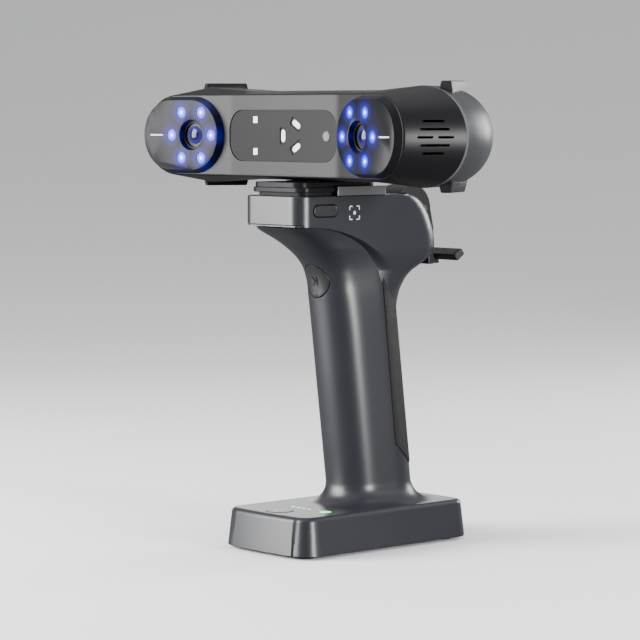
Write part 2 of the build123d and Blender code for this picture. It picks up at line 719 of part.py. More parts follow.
with BuildPart() as slab_profile:
    with BuildSketch(Plane.YZ) as side_view:
        with BuildLine():
            top = HANDLE_HEIGHT
            start = (BLOCK_Y + CREASE_START[0], top - CREASE_START[1])
            through = [(BLOCK_Y + back, top - drop) for back, drop in CREASE]
            foot = (BLOCK_Y + CREASE_FOOT[0], top - CREASE_FOOT[1])
            rear = grip_front(top) + GRIP_DEPTH + SLAB_STATIONS[0][1] + 0.6
            far = FRONT + BASE_LENGTH + 10
            Line((BLOCK_Y - 1, top), (BLOCK_Y - 1, top - BLOCK_SKIRT))
            Line((BLOCK_Y - 1, top - BLOCK_SKIRT), start)
            Spline(start, *through, foot, tangents=((1, -0.1), (0, -1)))
            Polyline(foot, (far, foot[1]), (far, top - 2 * TOP_CORNER))
            Line((far, top - 2 * TOP_CORNER), (rear + 2.2, top - 2 * TOP_CORNER))
            Spline(
                (rear + 2.2, top - 2 * TOP_CORNER), (rear - TOP_CORNER - 1.0, top),
                tangents=((-0.1, 1), (-1, 0)),
            )
            Line((rear - TOP_CORNER - 1.0, top), (BLOCK_Y - 1, top))
        make_face()
    extrude(side_view.sketch, amount=BLOCK_WIDTH, both=True)

with BuildPart() as handle_body:
    loft([slab_outline(*row) for row in SLAB_STATIONS], ruled=True)
    add(slab_profile.part, mode=Mode.INTERSECT)
    straight = (HANDLE_HEIGHT - 80.0, HANDLE_HEIGHT - 100.0, HANDLE_HEIGHT - 125.0)
    loft(
        [flare_outline(*row) for row in FLARE_STATIONS]
        + [grip_oval(z) for z in straight]
        + [neck_outline(angle) for angle in NECK_ANGLES]
        + [grip_oval(BASE_TOP - 1.0, grow=NECK_FLARE * 0.85)]
    )

with BuildPart() as base_body:
    loft([base_outline(BASE_Z, 0.0), base_outline(BASE_TOP, BASE_DRAFT)], ruled=True)
    fillet(base_body.faces().sort_by(Axis.Z)[-1].edges(), 2.5)

# ======================= hollows of the handle =======================
BORE_INSET = INSERT_THICKNESS + WALL
HINGE_Y = FRONT + HINGE_SETBACK
HINGE_Z = HANDLE_HEIGHT - HINGE_DROP
SLOT_HALF = ARM_HALF + 0.4
SLOT_FRONT = HINGE_Y - HINGE_RADIUS - 0.6
DECK_REAR = SLOT_FRONT - 3.0
COVER_EDGE = 1.2

with BuildPart() as insert_region:
    with BuildSketch(Plane.YZ) as insert_view:
        with BuildLine():
            low = HANDLE_HEIGHT - 125.0
            high = HANDLE_HEIGHT - 44.0
            low_front = grip_front(low) + 27.5
            high_front = grip_front(high) + 28.7
            far = FRONT + BASE_LENGTH + 10
            Line((high_front, high), (low_front, low))
            Line((low_front, low), (low_front + 16.5, low - 11.0))
            Polyline((low_front + 16.5, low - 11.0), (far, low - 11.0), (far, high + 5.5))
            Line((far, high + 5.5), (high_front + 18.6, high + 5.5))
            ThreePointArc((high_front + 18.6, high + 5.5), (high_front + 9.0, high + 10.0), (high_front, high))
        make_face()
    extrude(insert_view.sketch, amount=BLOCK_WIDTH, both=True)

with BuildPart() as grip_core:
    loft([grip_oval(BASE_TOP, INSERT_THICKNESS), grip_oval(HANDLE_HEIGHT - 30, INSERT_THICKNESS)], ruled=True)

with BuildPart() as rubber_grip:
    add(handle_body.part)
    add(insert_region.part, mode=Mode.INTERSECT)
    add(grip_core.part, mode=Mode.SUBTRACT)
rubber_grip.part.label = "rubber_grip"
export_step(rubber_grip.part, "parts/rubber_grip.step")

BUTTON_TILT = radians(13.5)
SCAN_Z = HANDLE_HEIGHT - SCAN_DROP
SCAN_NORMAL = Vector(0, -cos(BUTTON_TILT), -sin(BUTTON_TILT))
SCAN_FACE = Vector(0, grip_front(SCAN_Z) - 0.6, SCAN_Z)


def scan_plane(inwards):
    """Plane across the scan button's travel, inwards from the face of the grip."""
    return Plane(origin=SCAN_FACE - SCAN_NORMAL * inwards, x_dir=(1, 0, 0), z_dir=SCAN_NORMAL)


BUTTON_DEPTH = BORE_INSET + 1.0
with BuildPart() as scan_button:
    with BuildSketch(scan_plane(BUTTON_DEPTH)) as disc:
        Circle(BUTTON_RADIUS)
    extrude(disc.sketch, amount=2 * BUTTON_DEPTH)
    add(handle_body.part, mode=Mode.INTERSECT)
scan_button.part.label = "scan_button"
export_step(scan_button.part, "parts/scan_button.step")

POWER_Y = FRONT + 13.2
LIGHTS_Y = FRONT + 27.2
LIGHT_PITCH = 4.0
STATUS_X = 18.0
BOSS_RADIUS = 3.6
FOOT_INSET = 11.5
BOSS_PLACES = (BASE_WIDTH / 2 - FOOT_INSET, 29.0)
foot_pitch = (BASE_WIDTH - 2 * FOOT_INSET, BASE_LENGTH - 2 * FOOT_INSET)
RELEASE_Y = FACE_Y + 9.2
RELEASE_Z = HANDLE_HEIGHT - 7.2
CHARGE_Z = BASE_Z + 9.0

with BuildPart() as handle_shell:
    add(handle_body.part)
    add(base_body.part)
    add(rubber_grip.part, mode=Mode.SUBTRACT)
    with BuildSketch(Plane.XY.offset(HANDLE_HEIGHT - DECK_THICKNESS)):
        with Locations((0, (BLOCK_Y + COVER_EDGE + DECK_REAR) / 2)):
            RectangleRounded(
                BLOCK_WIDTH - 2 * COVER_EDGE, DECK_REAR - BLOCK_Y - COVER_EDGE, BLOCK_CORNER - COVER_EDGE
            )
    extrude(amount=2 * DECK_THICKNESS, mode=Mode.SUBTRACT)
    with BuildSketch(Plane.XY.offset(HANDLE_HEIGHT - BLOCK_SKIRT + WALL)):
        with Locations((0, (BLOCK_Y + 2 * WALL + DECK_REAR - WALL) / 2)):
            RectangleRounded(
                BLOCK_WIDTH - 4 * WALL, DECK_REAR - BLOCK_Y - 3 * WALL, BLOCK_CORNER - WALL
            )
    extrude(amount=BLOCK_SKIRT, mode=Mode.SUBTRACT)
    bore_top = HANDLE_HEIGHT - BLOCK_SKIRT + WALL + 1
    loft(
        [grip_oval(BASE_TOP - 2 * WALL, BORE_INSET), grip_oval(bore_top - 12.0, BORE_INSET)],
        ruled=True, mode=Mode.SUBTRACT,
    )
    with BuildSketch(Plane.XY.offset(bore_top - 12.0)):
        with Locations((0, grip_front(bore_top) + GRIP_DEPTH / 2 - 6.0)):
            RectangleRounded(GRIP_WIDTH - 2 * BORE_INSET - 4.0, GRIP_DEPTH - 18.0, 6.0)
    extrude(amount=12.0, mode=Mode.SUBTRACT)
    loft(
        [base_outline(BASE_Z, 2 * WALL), base_outline(BASE_TOP - WALL, BASE_DRAFT + 2 * WALL)],
        ruled=True, mode=Mode.SUBTRACT,
    )
    with BuildSketch(Plane.XY.offset(BASE_TOP - WALL)):
        with Locations((0, FRONT + BASE_LENGTH / 2)):
            with GridLocations(2 * BOSS_PLACES[0], BASE_LENGTH - 2 * BOSS_PLACES[1], 2, 2):
                Circle(BOSS_RADIUS)
    extrude(amount=-(BASE_HEIGHT - WALL - COVER_THICKNESS))
    extrude(base_outline(BASE_Z, COVER_EDGE), amount=COVER_THICKNESS, mode=Mode.SUBTRACT)
    with BuildSketch(Plane.XY.offset(BASE_Z + COVER_THICKNESS)):
        with Locations((0, FRONT + BASE_LENGTH / 2)):
            with GridLocations(2 * BOSS_PLACES[0], BASE_LENGTH - 2 * BOSS_PLACES[1], 2, 2):
                Circle(SCREW_RADIUS + RUNNING)
    extrude(amount=8.0, mode=Mode.SUBTRACT)
    with BuildSketch(Plane.XZ.offset(-HINGE_Y)) as hinge_slot:
        with Locations((0, HANDLE_HEIGHT)):
            Rectangle(2 * SLOT_HALF, 2 * 24.0)
    extrude(hinge_slot.sketch, amount=HINGE_Y - SLOT_FRONT, mode=Mode.SUBTRACT)
    extrude(hinge_slot.sketch, amount=-OVERALL_DEPTH, mode=Mode.SUBTRACT)
    with BuildSketch(Plane.YZ) as pin_hole:
        with Locations((HINGE_Y, HINGE_Z)):
            Circle(HINGE_PIN_RADIUS + 0.02)
    extrude(pin_hole.sketch, amount=2 * ARM_HALF, both=True, mode=Mode.SUBTRACT)
    with BuildSketch(scan_plane(BUTTON_DEPTH + 2)) as button_hole:
        Circle(BUTTON_RADIUS + BUTTON_GAP)
    extrude(button_hole.sketch, amount=3 * BUTTON_DEPTH, mode=Mode.SUBTRACT)
    with BuildSketch(Plane.YZ.offset(BLOCK_HALF - 3 * WALL)):
        with Locations((RELEASE_Y, RELEASE_Z)):
            SlotOverall(RELEASE_SIZE[0] + 2 * BUTTON_GAP, RELEASE_SIZE[1] + 2 * BUTTON_GAP)
    extrude(amount=4 * WALL, mode=Mode.SUBTRACT)
    with BuildSketch(Plane.XY.offset(BASE_TOP - 2 * WALL)):
        with Locations((0, POWER_Y)):
            Circle(POWER_RADIUS + BUTTON_GAP)
        with Locations((0, LIGHTS_Y)):
            with GridLocations(LIGHT_PITCH, 0, 4, 1):
                SlotOverall(2.3, 1.4)
        with Locations((STATUS_X, LIGHTS_Y)):
            Circle(2.9)
    extrude(amount=4 * WALL, mode=Mode.SUBTRACT)
    with BuildSketch(Plane.XZ.offset(-(FRONT + BASE_LENGTH - 4 * WALL))):
        with Locations((0, CHARGE_Z)):
            SlotOverall(PORT_SIZE[0] + 2 * FIT_GAP, PORT_SIZE[1] + 2 * FIT_GAP)
    extrude(amount=-6 * WALL, mode=Mode.SUBTRACT)
handle_shell.part.label = "handle_shell"
export_step(handle_shell.part, "parts/handle_shell.step")

# ======================= what the handle holds =======================
with BuildPart() as deck_plate:
    with BuildSketch(Plane.XY.offset(HANDLE_HEIGHT - DECK_THICKNESS)):
        with Locations((0, (BLOCK_Y + COVER_EDGE + DECK_REAR) / 2)):
            RectangleRounded(
                BLOCK_WIDTH - 2 * COVER_EDGE - 2 * FIT_GAP,
                DECK_REAR - BLOCK_Y - COVER_EDGE - 2 * FIT_GAP,
                BLOCK_CORNER - COVER_EDGE,
            )
    extrude(amount=DECK_THICKNESS)
    with Locations((0, PLATE_MID_Y, HANDLE_HEIGHT)):
        Hole(STUD_RADIUS + RUNNING)
deck_plate.part.label = "deck_plate"
export_step(deck_plate.part, "parts/deck_plate.step")

RELEASE_DEPTH = 2 * WALL + 1.0
with BuildPart() as release_button:
    with BuildSketch(Plane.YZ.offset(BLOCK_HALF + 0.4)):
        with Locations((RELEASE_Y, RELEASE_Z)):
            SlotOverall(RELEASE_SIZE[0], RELEASE_SIZE[1])
    extrude(amount=-RELEASE_DEPTH)
release_button.part.label = "release_button"
export_step(release_button.part, "parts/release_button.step")

LATCH_STOP = 7.0                        # how near the middle the latch bar comes
with BuildPart() as latch_bar:
    with BuildSketch(Plane.YZ.offset(LATCH_STOP + RELEASE_TRAVEL)):
        with Locations((RELEASE_Y, RELEASE_Z)):
            Rectangle(RELEASE_SIZE[0] - 4.0, RELEASE_SIZE[1] - 1.6)
    extrude(amount=BLOCK_HALF + 0.4 - RELEASE_DEPTH - LATCH_STOP - RELEASE_TRAVEL)
latch_bar.part.label = "latch_bar"
export_step(latch_bar.part, "parts/latch_bar.step")

GRIP_AXIS = Vector(0, -sin(radians(GRIP_LEAN)), cos(radians(GRIP_LEAN)))
CELL_BOTTOM = BASE_TOP + 16.0


def grip_plane(z, back):
    """Plane across the grip's axis at height z, back behind the front of the grip."""
    return Plane(origin=(0, grip_front(z) + back, z), x_dir=(1, 0, 0), z_dir=GRIP_AXIS)


CELL_CENTRE = 24.0
with BuildPart() as battery_cell:
    with BuildSketch(grip_plane(CELL_BOTTOM, CELL_CENTRE)):
        Circle(CELL_RADIUS)
    extrude(amount=CELL_LENGTH)
battery_cell.part.label = "battery_cell"
export_step(battery_cell.part, "parts/battery_cell.step")

with BuildPart() as battery_cradle:
    with BuildSketch(grip_plane(CELL_BOTTOM, CELL_CENTRE)):
        Circle(CELL_RADIUS + 1.6)
        Circle(CELL_RADIUS + FIT_GAP, mode=Mode.SUBTRACT)
        with Locations((0, -2 * CELL_RADIUS)):
            Rectangle(4 * CELL_RADIUS, 2 * CELL_RADIUS + 8.0, mode=Mode.SUBTRACT)
    extrude(amount=CELL_LENGTH)
battery_cradle.part.label = "battery_cradle"
export_step(battery_cradle.part, "parts/battery_cradle.step")

HANDLE_BOARD_SIZE = (16.0, 60.0)
board_z = HANDLE_HEIGHT - 90.0
with BuildPart() as handle_board:
    with BuildSketch(
        Plane(
            origin=(0, grip_front(board_z) + 36.5, board_z),
            x_dir=(1, 0, 0),
            z_dir=(0, cos(radians(GRIP_LEAN)), sin(radians(GRIP_LEAN))),
        )
    ):
        Rectangle(*HANDLE_BOARD_SIZE)
    extrude(amount=BOARD)
handle_board.part.label = "handle_board"
export_step(handle_board.part, "parts/handle_board.step")

with BuildPart() as scan_switch:
    with BuildSketch(scan_plane(BUTTON_DEPTH + BUTTON_TRAVEL + 0.2)):
        Rectangle(6.0, 6.0)
    extrude(amount=-2.0)
    with BuildSketch(scan_plane(BUTTON_DEPTH + BUTTON_TRAVEL + 2.2)):
        Rectangle(14.0, 12.0)
    extrude(amount=-BOARD)
scan_switch.part.label = "scan_switch"
export_step(scan_switch.part, "parts/scan_switch.step")

# ======================= base =======================
with BuildPart() as base_cover:
    extrude(base_outline(BASE_Z, COVER_EDGE + FIT_GAP), amount=COVER_THICKNESS)
    with BuildSketch(Plane.XY.offset(BASE_Z)):
        with Locations((0, BASE_MID_Y)):
            with GridLocations(foot_pitch[0], foot_pitch[1], 2, 2):
                Circle(FOOT_RADIUS + RUNNING)
    extrude(amount=FOOT_HEIGHT - FOOT_STANDOFF, mode=Mode.SUBTRACT)
    with Locations((0, BASE_MID_Y, BASE_Z)):
        with GridLocations(2 * BOSS_PLACES[0], BASE_LENGTH - 2 * BOSS_PLACES[1], 2, 2):
            Cylinder(SCREW_RADIUS + 0.3, 2 * COVER_THICKNESS + 1, mode=Mode.SUBTRACT)
            Cylinder(2.8, 2 * 0.9, mode=Mode.SUBTRACT)
base_cover.part.label = "base_cover"
export_step(base_cover.part, "parts/base_cover.step")

with BuildPart() as base_screws:
    with BuildSketch(Plane.XY.offset(BASE_Z + 0.1)) as heads:
        with Locations((0, BASE_MID_Y)):
            with GridLocations(2 * BOSS_PLACES[0], BASE_LENGTH - 2 * BOSS_PLACES[1], 2, 2):
                Circle(2.6)
    extrude(heads.sketch, amount=0.8)
    with BuildSketch(Plane.XY.offset(BASE_Z + 0.9)) as shanks:
        with Locations((0, BASE_MID_Y)):
            with GridLocations(2 * BOSS_PLACES[0], BASE_LENGTH - 2 * BOSS_PLACES[1], 2, 2):
                Circle(SCREW_RADIUS)
    extrude(shanks.sketch, amount=7.0)
base_screws.part.label = "base_screws"
export_step(base_screws.part, "parts/base_screws.step")

with BuildPart() as rubber_feet:
    with BuildSketch(Plane.XY) as feet:
        with Locations((0, BASE_MID_Y)):
            with GridLocations(foot_pitch[0], foot_pitch[1], 2, 2):
                Circle(FOOT_RADIUS)
    extrude(feet.sketch, amount=FOOT_HEIGHT)
    fillet(rubber_feet.edges().group_by(Axis.Z)[0], 0.6)
rubber_feet.part.label = "rubber_feet"
export_step(rubber_feet.part, "parts/rubber_feet.step")

POWER_DEPTH = WALL + 0.8
with BuildPart() as power_button:
    with BuildSketch(Plane.XY.offset(BASE_TOP + 0.2)):
        with Locations((0, POWER_Y)):
            Circle(POWER_RADIUS)
    extrude(amount=-POWER_DEPTH)
power_button.part.label = "power_button"
export_step(power_button.part, "parts/power_button.step")

with BuildPart() as battery_lights:
    with BuildSketch(Plane.XY.offset(BASE_TOP + 0.1)):
        with Locations((0, LIGHTS_Y)):
            with GridLocations(LIGHT_PITCH, 0, 4, 1):
                SlotOverall(2.2, 1.3)
    extrude(amount=-WALL)
battery_lights.part.label = "battery_lights"
export_step(battery_lights.part, "parts/battery_lights.step")

with BuildPart() as status_light:
    with BuildSketch(Plane.XY.offset(BASE_TOP + 0.1)):
        with Locations((STATUS_X, LIGHTS_Y)):
            Circle(2.8)
    extrude(amount=-WALL)
status_light.part.label = "status_light"
export_step(status_light.part, "parts/status_light.step")

SWITCH_TOP = BASE_TOP + 0.2 - POWER_DEPTH - POWER_TRAVEL - 0.2
SWITCH_HEIGHT = 1.8
with BuildPart() as base_board:
    with BuildSketch(Plane.XY.offset(SWITCH_TOP - SWITCH_HEIGHT)):
        with Locations((0, FRONT + 22.0)):
            RectangleRounded(32.0, 24.0, 2.0)
    extrude(amount=-BOARD)
    with BuildSketch(Plane.XY.offset(SWITCH_TOP - SWITCH_HEIGHT)):
        with Locations((0, POWER_Y)):
            Rectangle(6.0, 6.0)
    extrude(amount=SWITCH_HEIGHT)
base_board.part.label = "base_board"
export_step(base_board.part, "parts/base_board.step")

with BuildPart() as charge_port:
    with BuildSketch(Plane.XZ.offset(-(FRONT + BASE_LENGTH - BASE_DRAFT - 6.0))):
        with Locations((0, CHARGE_Z)):
            SlotOverall(*PORT_SIZE)
            SlotOverall(PORT_SIZE[0] - 1.0, PORT_SIZE[1] - 1.0, mode=Mode.SUBTRACT)
    extrude(amount=-6.0)
    with BuildSketch(Plane.XZ.offset(-(FRONT + BASE_LENGTH - BASE_DRAFT - 6.0))):
        with Locations((0, CHARGE_Z)):
            SlotOverall(*PORT_SIZE)
    extrude(amount=-1.0)
charge_port.part.label = "charge_port"
export_step(charge_port.part, "parts/charge_port.step")

# ======================= phone holder =======================
ARM_THICKNESS = 3.6
ARM_GAP = 1.1
ARM_FOOT_DROP = 36.5
arm_foot_z = HANDLE_HEIGHT - ARM_FOOT_DROP
block_back = grip_front(HANDLE_HEIGHT - 24.0) + GRIP_DEPTH + SLAB_STATIONS[3][1]
ARM_INNER = block_back + ARM_GAP
ARM_OUTER = ARM_INNER + ARM_THICKNESS
CHANNEL_HALF = 4.0
CHANNEL_DEPTH = 1.8
TONGUE_LENGTH = JAW_TRAVEL + 6.5
CHANNEL_TOP = arm_foot_z + TONGUE_LENGTH + 1.0

with BuildPart() as holder_arm:
    with BuildSketch(Plane.YZ) as arm_view:
        with Locations((HINGE_Y, HINGE_Z)):
            Circle(HINGE_RADIUS)
        with BuildLine():
            Polyline(
                (HINGE_Y + HINGE_RADIUS, HINGE_Z), (ARM_OUTER, HINGE_Z - 10.0), (ARM_OUTER, arm_foot_z),
                (ARM_INNER, arm_foot_z), (ARM_INNER, HANDLE_HEIGHT - 24.0), (HINGE_Y + 5.0, HINGE_Z - 9.0),
                (HINGE_Y, HINGE_Z), (HINGE_Y + HINGE_RADIUS, HINGE_Z),
            )
        make_face()
        with Locations((HINGE_Y, HINGE_Z)):
            Circle(HINGE_PIN_RADIUS + RUNNING, mode=Mode.SUBTRACT)
    extrude(arm_view.sketch, amount=ARM_HALF, both=True)
    with BuildSketch(Plane.XZ.offset(-ARM_OUTER)) as channel:
        with Locations((0, (CHANNEL_TOP + arm_foot_z) / 2 - 10.0)):
            Rectangle(2 * CHANNEL_HALF, CHANNEL_TOP - arm_foot_z + 20.0)
    extrude(channel.sketch, amount=CHANNEL_DEPTH, mode=Mode.SUBTRACT)
    extrude(channel.sketch, amount=-CHANNEL_DEPTH, mode=Mode.SUBTRACT)
holder_arm.part.label = "holder_arm"
export_step(holder_arm.part, "parts/holder_arm.step")

with BuildPart() as hinge_pin:
    with BuildSketch(Plane.YZ) as pin:
        with Locations((HINGE_Y, HINGE_Z)):
            Circle(HINGE_PIN_RADIUS)
    extrude(pin.sketch, amount=2 * ARM_HALF - 0.2, both=True)
hinge_pin.part.label = "hinge_pin"
export_step(hinge_pin.part, "parts/hinge_pin.step")

JAW_TILT = radians(35.0)
JAW_DEPTH = 6.0
JAW_THICKNESS = 3.8
TONGUE_TOP = arm_foot_z + TONGUE_LENGTH
JAW_BACK = -FRONT
jaw_centre = Vector(
    0,
    JAW_BACK - JAW_DEPTH / 2 * cos(JAW_TILT) - JAW_THICKNESS / 2 * sin(JAW_TILT),
    arm_foot_z + 5.0,
)
jaw_plane = Plane(
    origin=(-JAW_HALF, jaw_centre.Y, jaw_centre.Z),
    x_dir=(0, cos(JAW_TILT), sin(JAW_TILT)),
    z_dir=(1, 0, 0),
)

with BuildPart() as lower_jaw:
    with BuildSketch(jaw_plane):
        RectangleRounded(JAW_DEPTH, JAW_THICKNESS, 0.8)
    extrude(amount=2 * JAW_HALF)
    with BuildSketch(Plane.XZ.offset(-(ARM_OUTER - CHANNEL_DEPTH + FIT_GAP))) as tongue:
        with Locations((0, (TONGUE_TOP + arm_foot_z) / 2)):
            Rectangle(2 * (CHANNEL_HALF - FIT_GAP), TONGUE_TOP - arm_foot_z)
    extrude(tongue.sketch, amount=-(CHANNEL_DEPTH - FIT_GAP))
    with BuildSketch(Plane.YZ) as web:
        with BuildLine():
            Polyline(
                (ARM_OUTER - 0.3, arm_foot_z), (jaw_centre.Y + 1.0, arm_foot_z),
                (jaw_centre.Y + 1.0, jaw_centre.Z), (jaw_centre.Y - 1.6, jaw_centre.Z + 0.8),
                (ARM_OUTER - 0.3, jaw_centre.Z), (ARM_OUTER - 0.3, arm_foot_z),
            )
        make_face()
    extrude(web.sketch, amount=CHANNEL_HALF - FIT_GAP, both=True)
lower_jaw.part.label = "lower_jaw"
export_step(lower_jaw.part, "parts/lower_jaw.step")

with BuildPart() as jaw_pads:
    for side in (1, -1):
        with BuildSketch(
            Plane(
                origin=(side * JAW_HALF, jaw_centre.Y, jaw_centre.Z),
                x_dir=(0, cos(JAW_TILT), sin(JAW_TILT)),
                z_dir=(1, 0, 0),
            )
        ) as pad:
            RectangleRounded(JAW_DEPTH, JAW_THICKNESS, 0.8)
        extrude(pad.sketch, amount=side * 2.0)
jaw_pads.part.label = "jaw_pads"
export_step(jaw_pads.part, "parts/jaw_pads.step")
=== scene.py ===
import math

import bmesh
import bpy
import numpy as np
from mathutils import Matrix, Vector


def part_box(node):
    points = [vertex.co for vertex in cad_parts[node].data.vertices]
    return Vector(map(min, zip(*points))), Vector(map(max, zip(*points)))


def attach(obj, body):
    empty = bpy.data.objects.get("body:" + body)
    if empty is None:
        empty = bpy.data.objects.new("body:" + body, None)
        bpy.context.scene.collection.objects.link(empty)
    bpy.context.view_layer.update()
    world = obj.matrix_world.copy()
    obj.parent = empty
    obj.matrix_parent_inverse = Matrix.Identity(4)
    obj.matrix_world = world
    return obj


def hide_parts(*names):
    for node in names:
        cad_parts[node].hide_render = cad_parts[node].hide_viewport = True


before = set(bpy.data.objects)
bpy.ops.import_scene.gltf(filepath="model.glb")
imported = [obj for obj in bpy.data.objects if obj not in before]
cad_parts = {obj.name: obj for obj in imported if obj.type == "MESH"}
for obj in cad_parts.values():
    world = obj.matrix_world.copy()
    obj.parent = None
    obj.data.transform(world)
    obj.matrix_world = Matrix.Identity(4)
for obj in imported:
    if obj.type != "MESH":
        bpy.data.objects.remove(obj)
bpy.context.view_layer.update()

# ---- stage ----
# A pale floor that curves up into its backdrop, a wide soft box on the left, narrow ones on the right and
# behind, and one overhead. The camera stands to the object's right and front, level with its head.


def soft_box(name, place, aim, width, height, watts):
    """A rectangular lamp at place whose face looks at aim."""
    lamp = bpy.data.lights.new(name, "AREA")
    lamp.shape = "RECTANGLE"
    lamp.size, lamp.size_y, lamp.energy = width, height, watts
    holder = bpy.data.objects.new(name, lamp)
    bpy.context.scene.collection.objects.link(holder)
    holder.location = place
    holder.visible_camera = False
    towards = np.array(aim, float) - np.array(place, float)
    flat = math.hypot(towards[0], towards[1])
    holder.rotation_euler = (math.atan2(flat, -towards[2]), 0, math.atan2(-towards[0], towards[1]))
    return holder


def around(camera_angle, distance, height):
    """A place at an angle counter-clockwise from the camera, seen from above, round the object."""
    turn = math.atan2(-0.90942, 1.00515) + math.radians(camera_angle)
    return (distance * math.cos(turn), distance * math.sin(turn), height)


camera = bpy.data.objects.new("camera", bpy.data.cameras.new("camera"))
bpy.context.scene.collection.objects.link(camera)
camera.location = (1.00515, -0.90942, 0.21618)
camera.rotation_euler = (math.radians(85.6), 0, math.radians(48.51))
camera.data.lens = 152.98
camera.data.sensor_width = 36
camera.data.clip_start, camera.data.clip_end = 0.05, 50
bpy.context.scene.camera = camera

MIDDLE = (0, 0, 0.13)
soft_box("left_box", around(-80, 0.95, 0.24), MIDDLE, 0.62, 0.9, 50)
soft_box("right_strip", around(44, 1.0, 0.12), (0, 0, 0.09), 0.2, 0.5, 27)
soft_box("side_box", around(72, 0.6, 0.46), (0.02, -0.02, 0.17), 0.16, 0.12, 0.3)
back_low = soft_box("back_low", around(185, 1.3, 0.26), (0, 0, 0.03), 1.3, 0.22, 0.22)
back_low.data.spread = math.radians(34)
soft_box("overhead", (0.0, 0.05, 1.2), MIDDLE, 0.9, 0.9, 4)
soft_box("back_rim", around(128, 1.1, 0.40), (0.08, 0.02, 0.2), 0.4, 0.4, 10)

world = bpy.data.worlds.new("studio")
bpy.context.scene.world = world
world.use_nodes = True
world.node_tree.nodes["Background"].inputs["Color"].default_value = (0.95, 0.96, 0.98, 1)
world.node_tree.nodes["Background"].inputs["Strength"].default_value = 0.7


def grid_mesh(name, grid, wrap=True, caps=(0, -1)):
    """Object named name from a grid of points in mm, rows by columns by three.
    Quads join each row to the next; wrap closes the columns; caps names the rows, first or last, to fill."""
    rows, columns = grid.shape[:2]
    index = np.arange(rows * columns).reshape(rows, columns)
    ahead = np.roll(index, -1, axis=1) if wrap else index[:, 1:]
    here = index if wrap else index[:, :-1]
    quads = np.stack([here[:-1], ahead[:-1], ahead[1:], here[1:]], axis=-1).reshape(-1, 4)
    points = grid.reshape(-1, 3)
    faces = quads.tolist()
    if wrap and 0 in caps:
        faces.append(index[0][::-1].tolist())
    if wrap and -1 in caps:
        faces.append(index[-1].tolist())
    a, b, c, d = (points[quads[:, k]] for k in range(4))
    middle = points.mean(0)
    volume = np.einsum("ij,ij->", np.cross(c - a, d - b), (a + b + c + d) / 4 - middle)
    if volume < 0:
        faces = [face[::-1] for face in faces]
    mesh = bpy.data.meshes.new(name)
    mesh.from_pydata((points * 0.001).tolist(), [], faces)
    mesh.validate()
    mesh.shade_smooth()
    mesh.set_sharp_from_angle(angle=math.radians(38))
    piece = bpy.data.objects.new(name, mesh)
    bpy.context.scene.collection.objects.link(piece)
    return piece


def bowl_grid():
    """Flat out to 900 mm, then a quarter ellipse up: reach = 900 + 3300 sin a, rise = 2000 (1 - cos a)."""
    arc = np.radians(np.linspace(2, 90, 40))
    reach = np.concatenate([np.linspace(1, 900, 8), 900 + 3300 * np.sin(arc)])[:, None]
    rise = np.concatenate([np.zeros(8), 2000 * (1 - np.cos(arc))])[:, None]
    turn = np.linspace(0, 2 * np.pi, 96, endpoint=False)
    return np.dstack([reach * np.cos(turn), reach * np.sin(turn), rise + 0 * turn])


floor = grid_mesh("floor", bowl_grid(), caps=())
floor.data.flip_normals()


def material(name, colour, roughness, **sockets):
    """A new material with a Principled shader; sockets are its other plain values."""
    made = bpy.data.materials.new(name)
    made.use_nodes = True
    shader = made.node_tree.nodes["Principled BSDF"]
    shader.inputs["Base Color"].default_value = (*colour, 1)
    shader.inputs["Roughness"].default_value = roughness
    shader.inputs["Specular IOR Level"].default_value = 0.4
    for socket, value in sockets.items():
        shader.inputs[socket.replace("_", " ")].default_value = value
    return made


def wire(made, output, target, *more):
    """Joins sockets in a node tree, given as pairs."""
    made.links.new(output, target)
    for k in range(0, len(more), 2):
        made.links.new(more[k], more[k + 1])


def new_group(name, takes, gives):
    """An empty shader node group with named float, colour or vector sockets."""
    group = bpy.data.node_groups.new(name, "ShaderNodeTree")
    kinds = {"f": "NodeSocketFloat", "c": "NodeSocketColor", "v": "NodeSocketVector"}
    for label, kind in takes:
        group.interface.new_socket(label, in_out="INPUT", socket_type=kinds[kind])
    for label, kind in gives:
        group.interface.new_socket(label, in_out="OUTPUT", socket_type=kinds[kind])
    return group, group.nodes.new("NodeGroupInput"), group.nodes.new("NodeGroupOutput")


def math_node(group, operation, first, second=None):
    """A Math node with its inputs wired or set; returns its output."""
    node = group.nodes.new("ShaderNodeMath")
    node.operation = operation
    for socket, value in zip(node.inputs, (first, second)):
        if isinstance(value, (int, float)):
            socket.default_value = value
        elif value is not None:
            group.links.new(value, socket)
    return node.outputs[0]


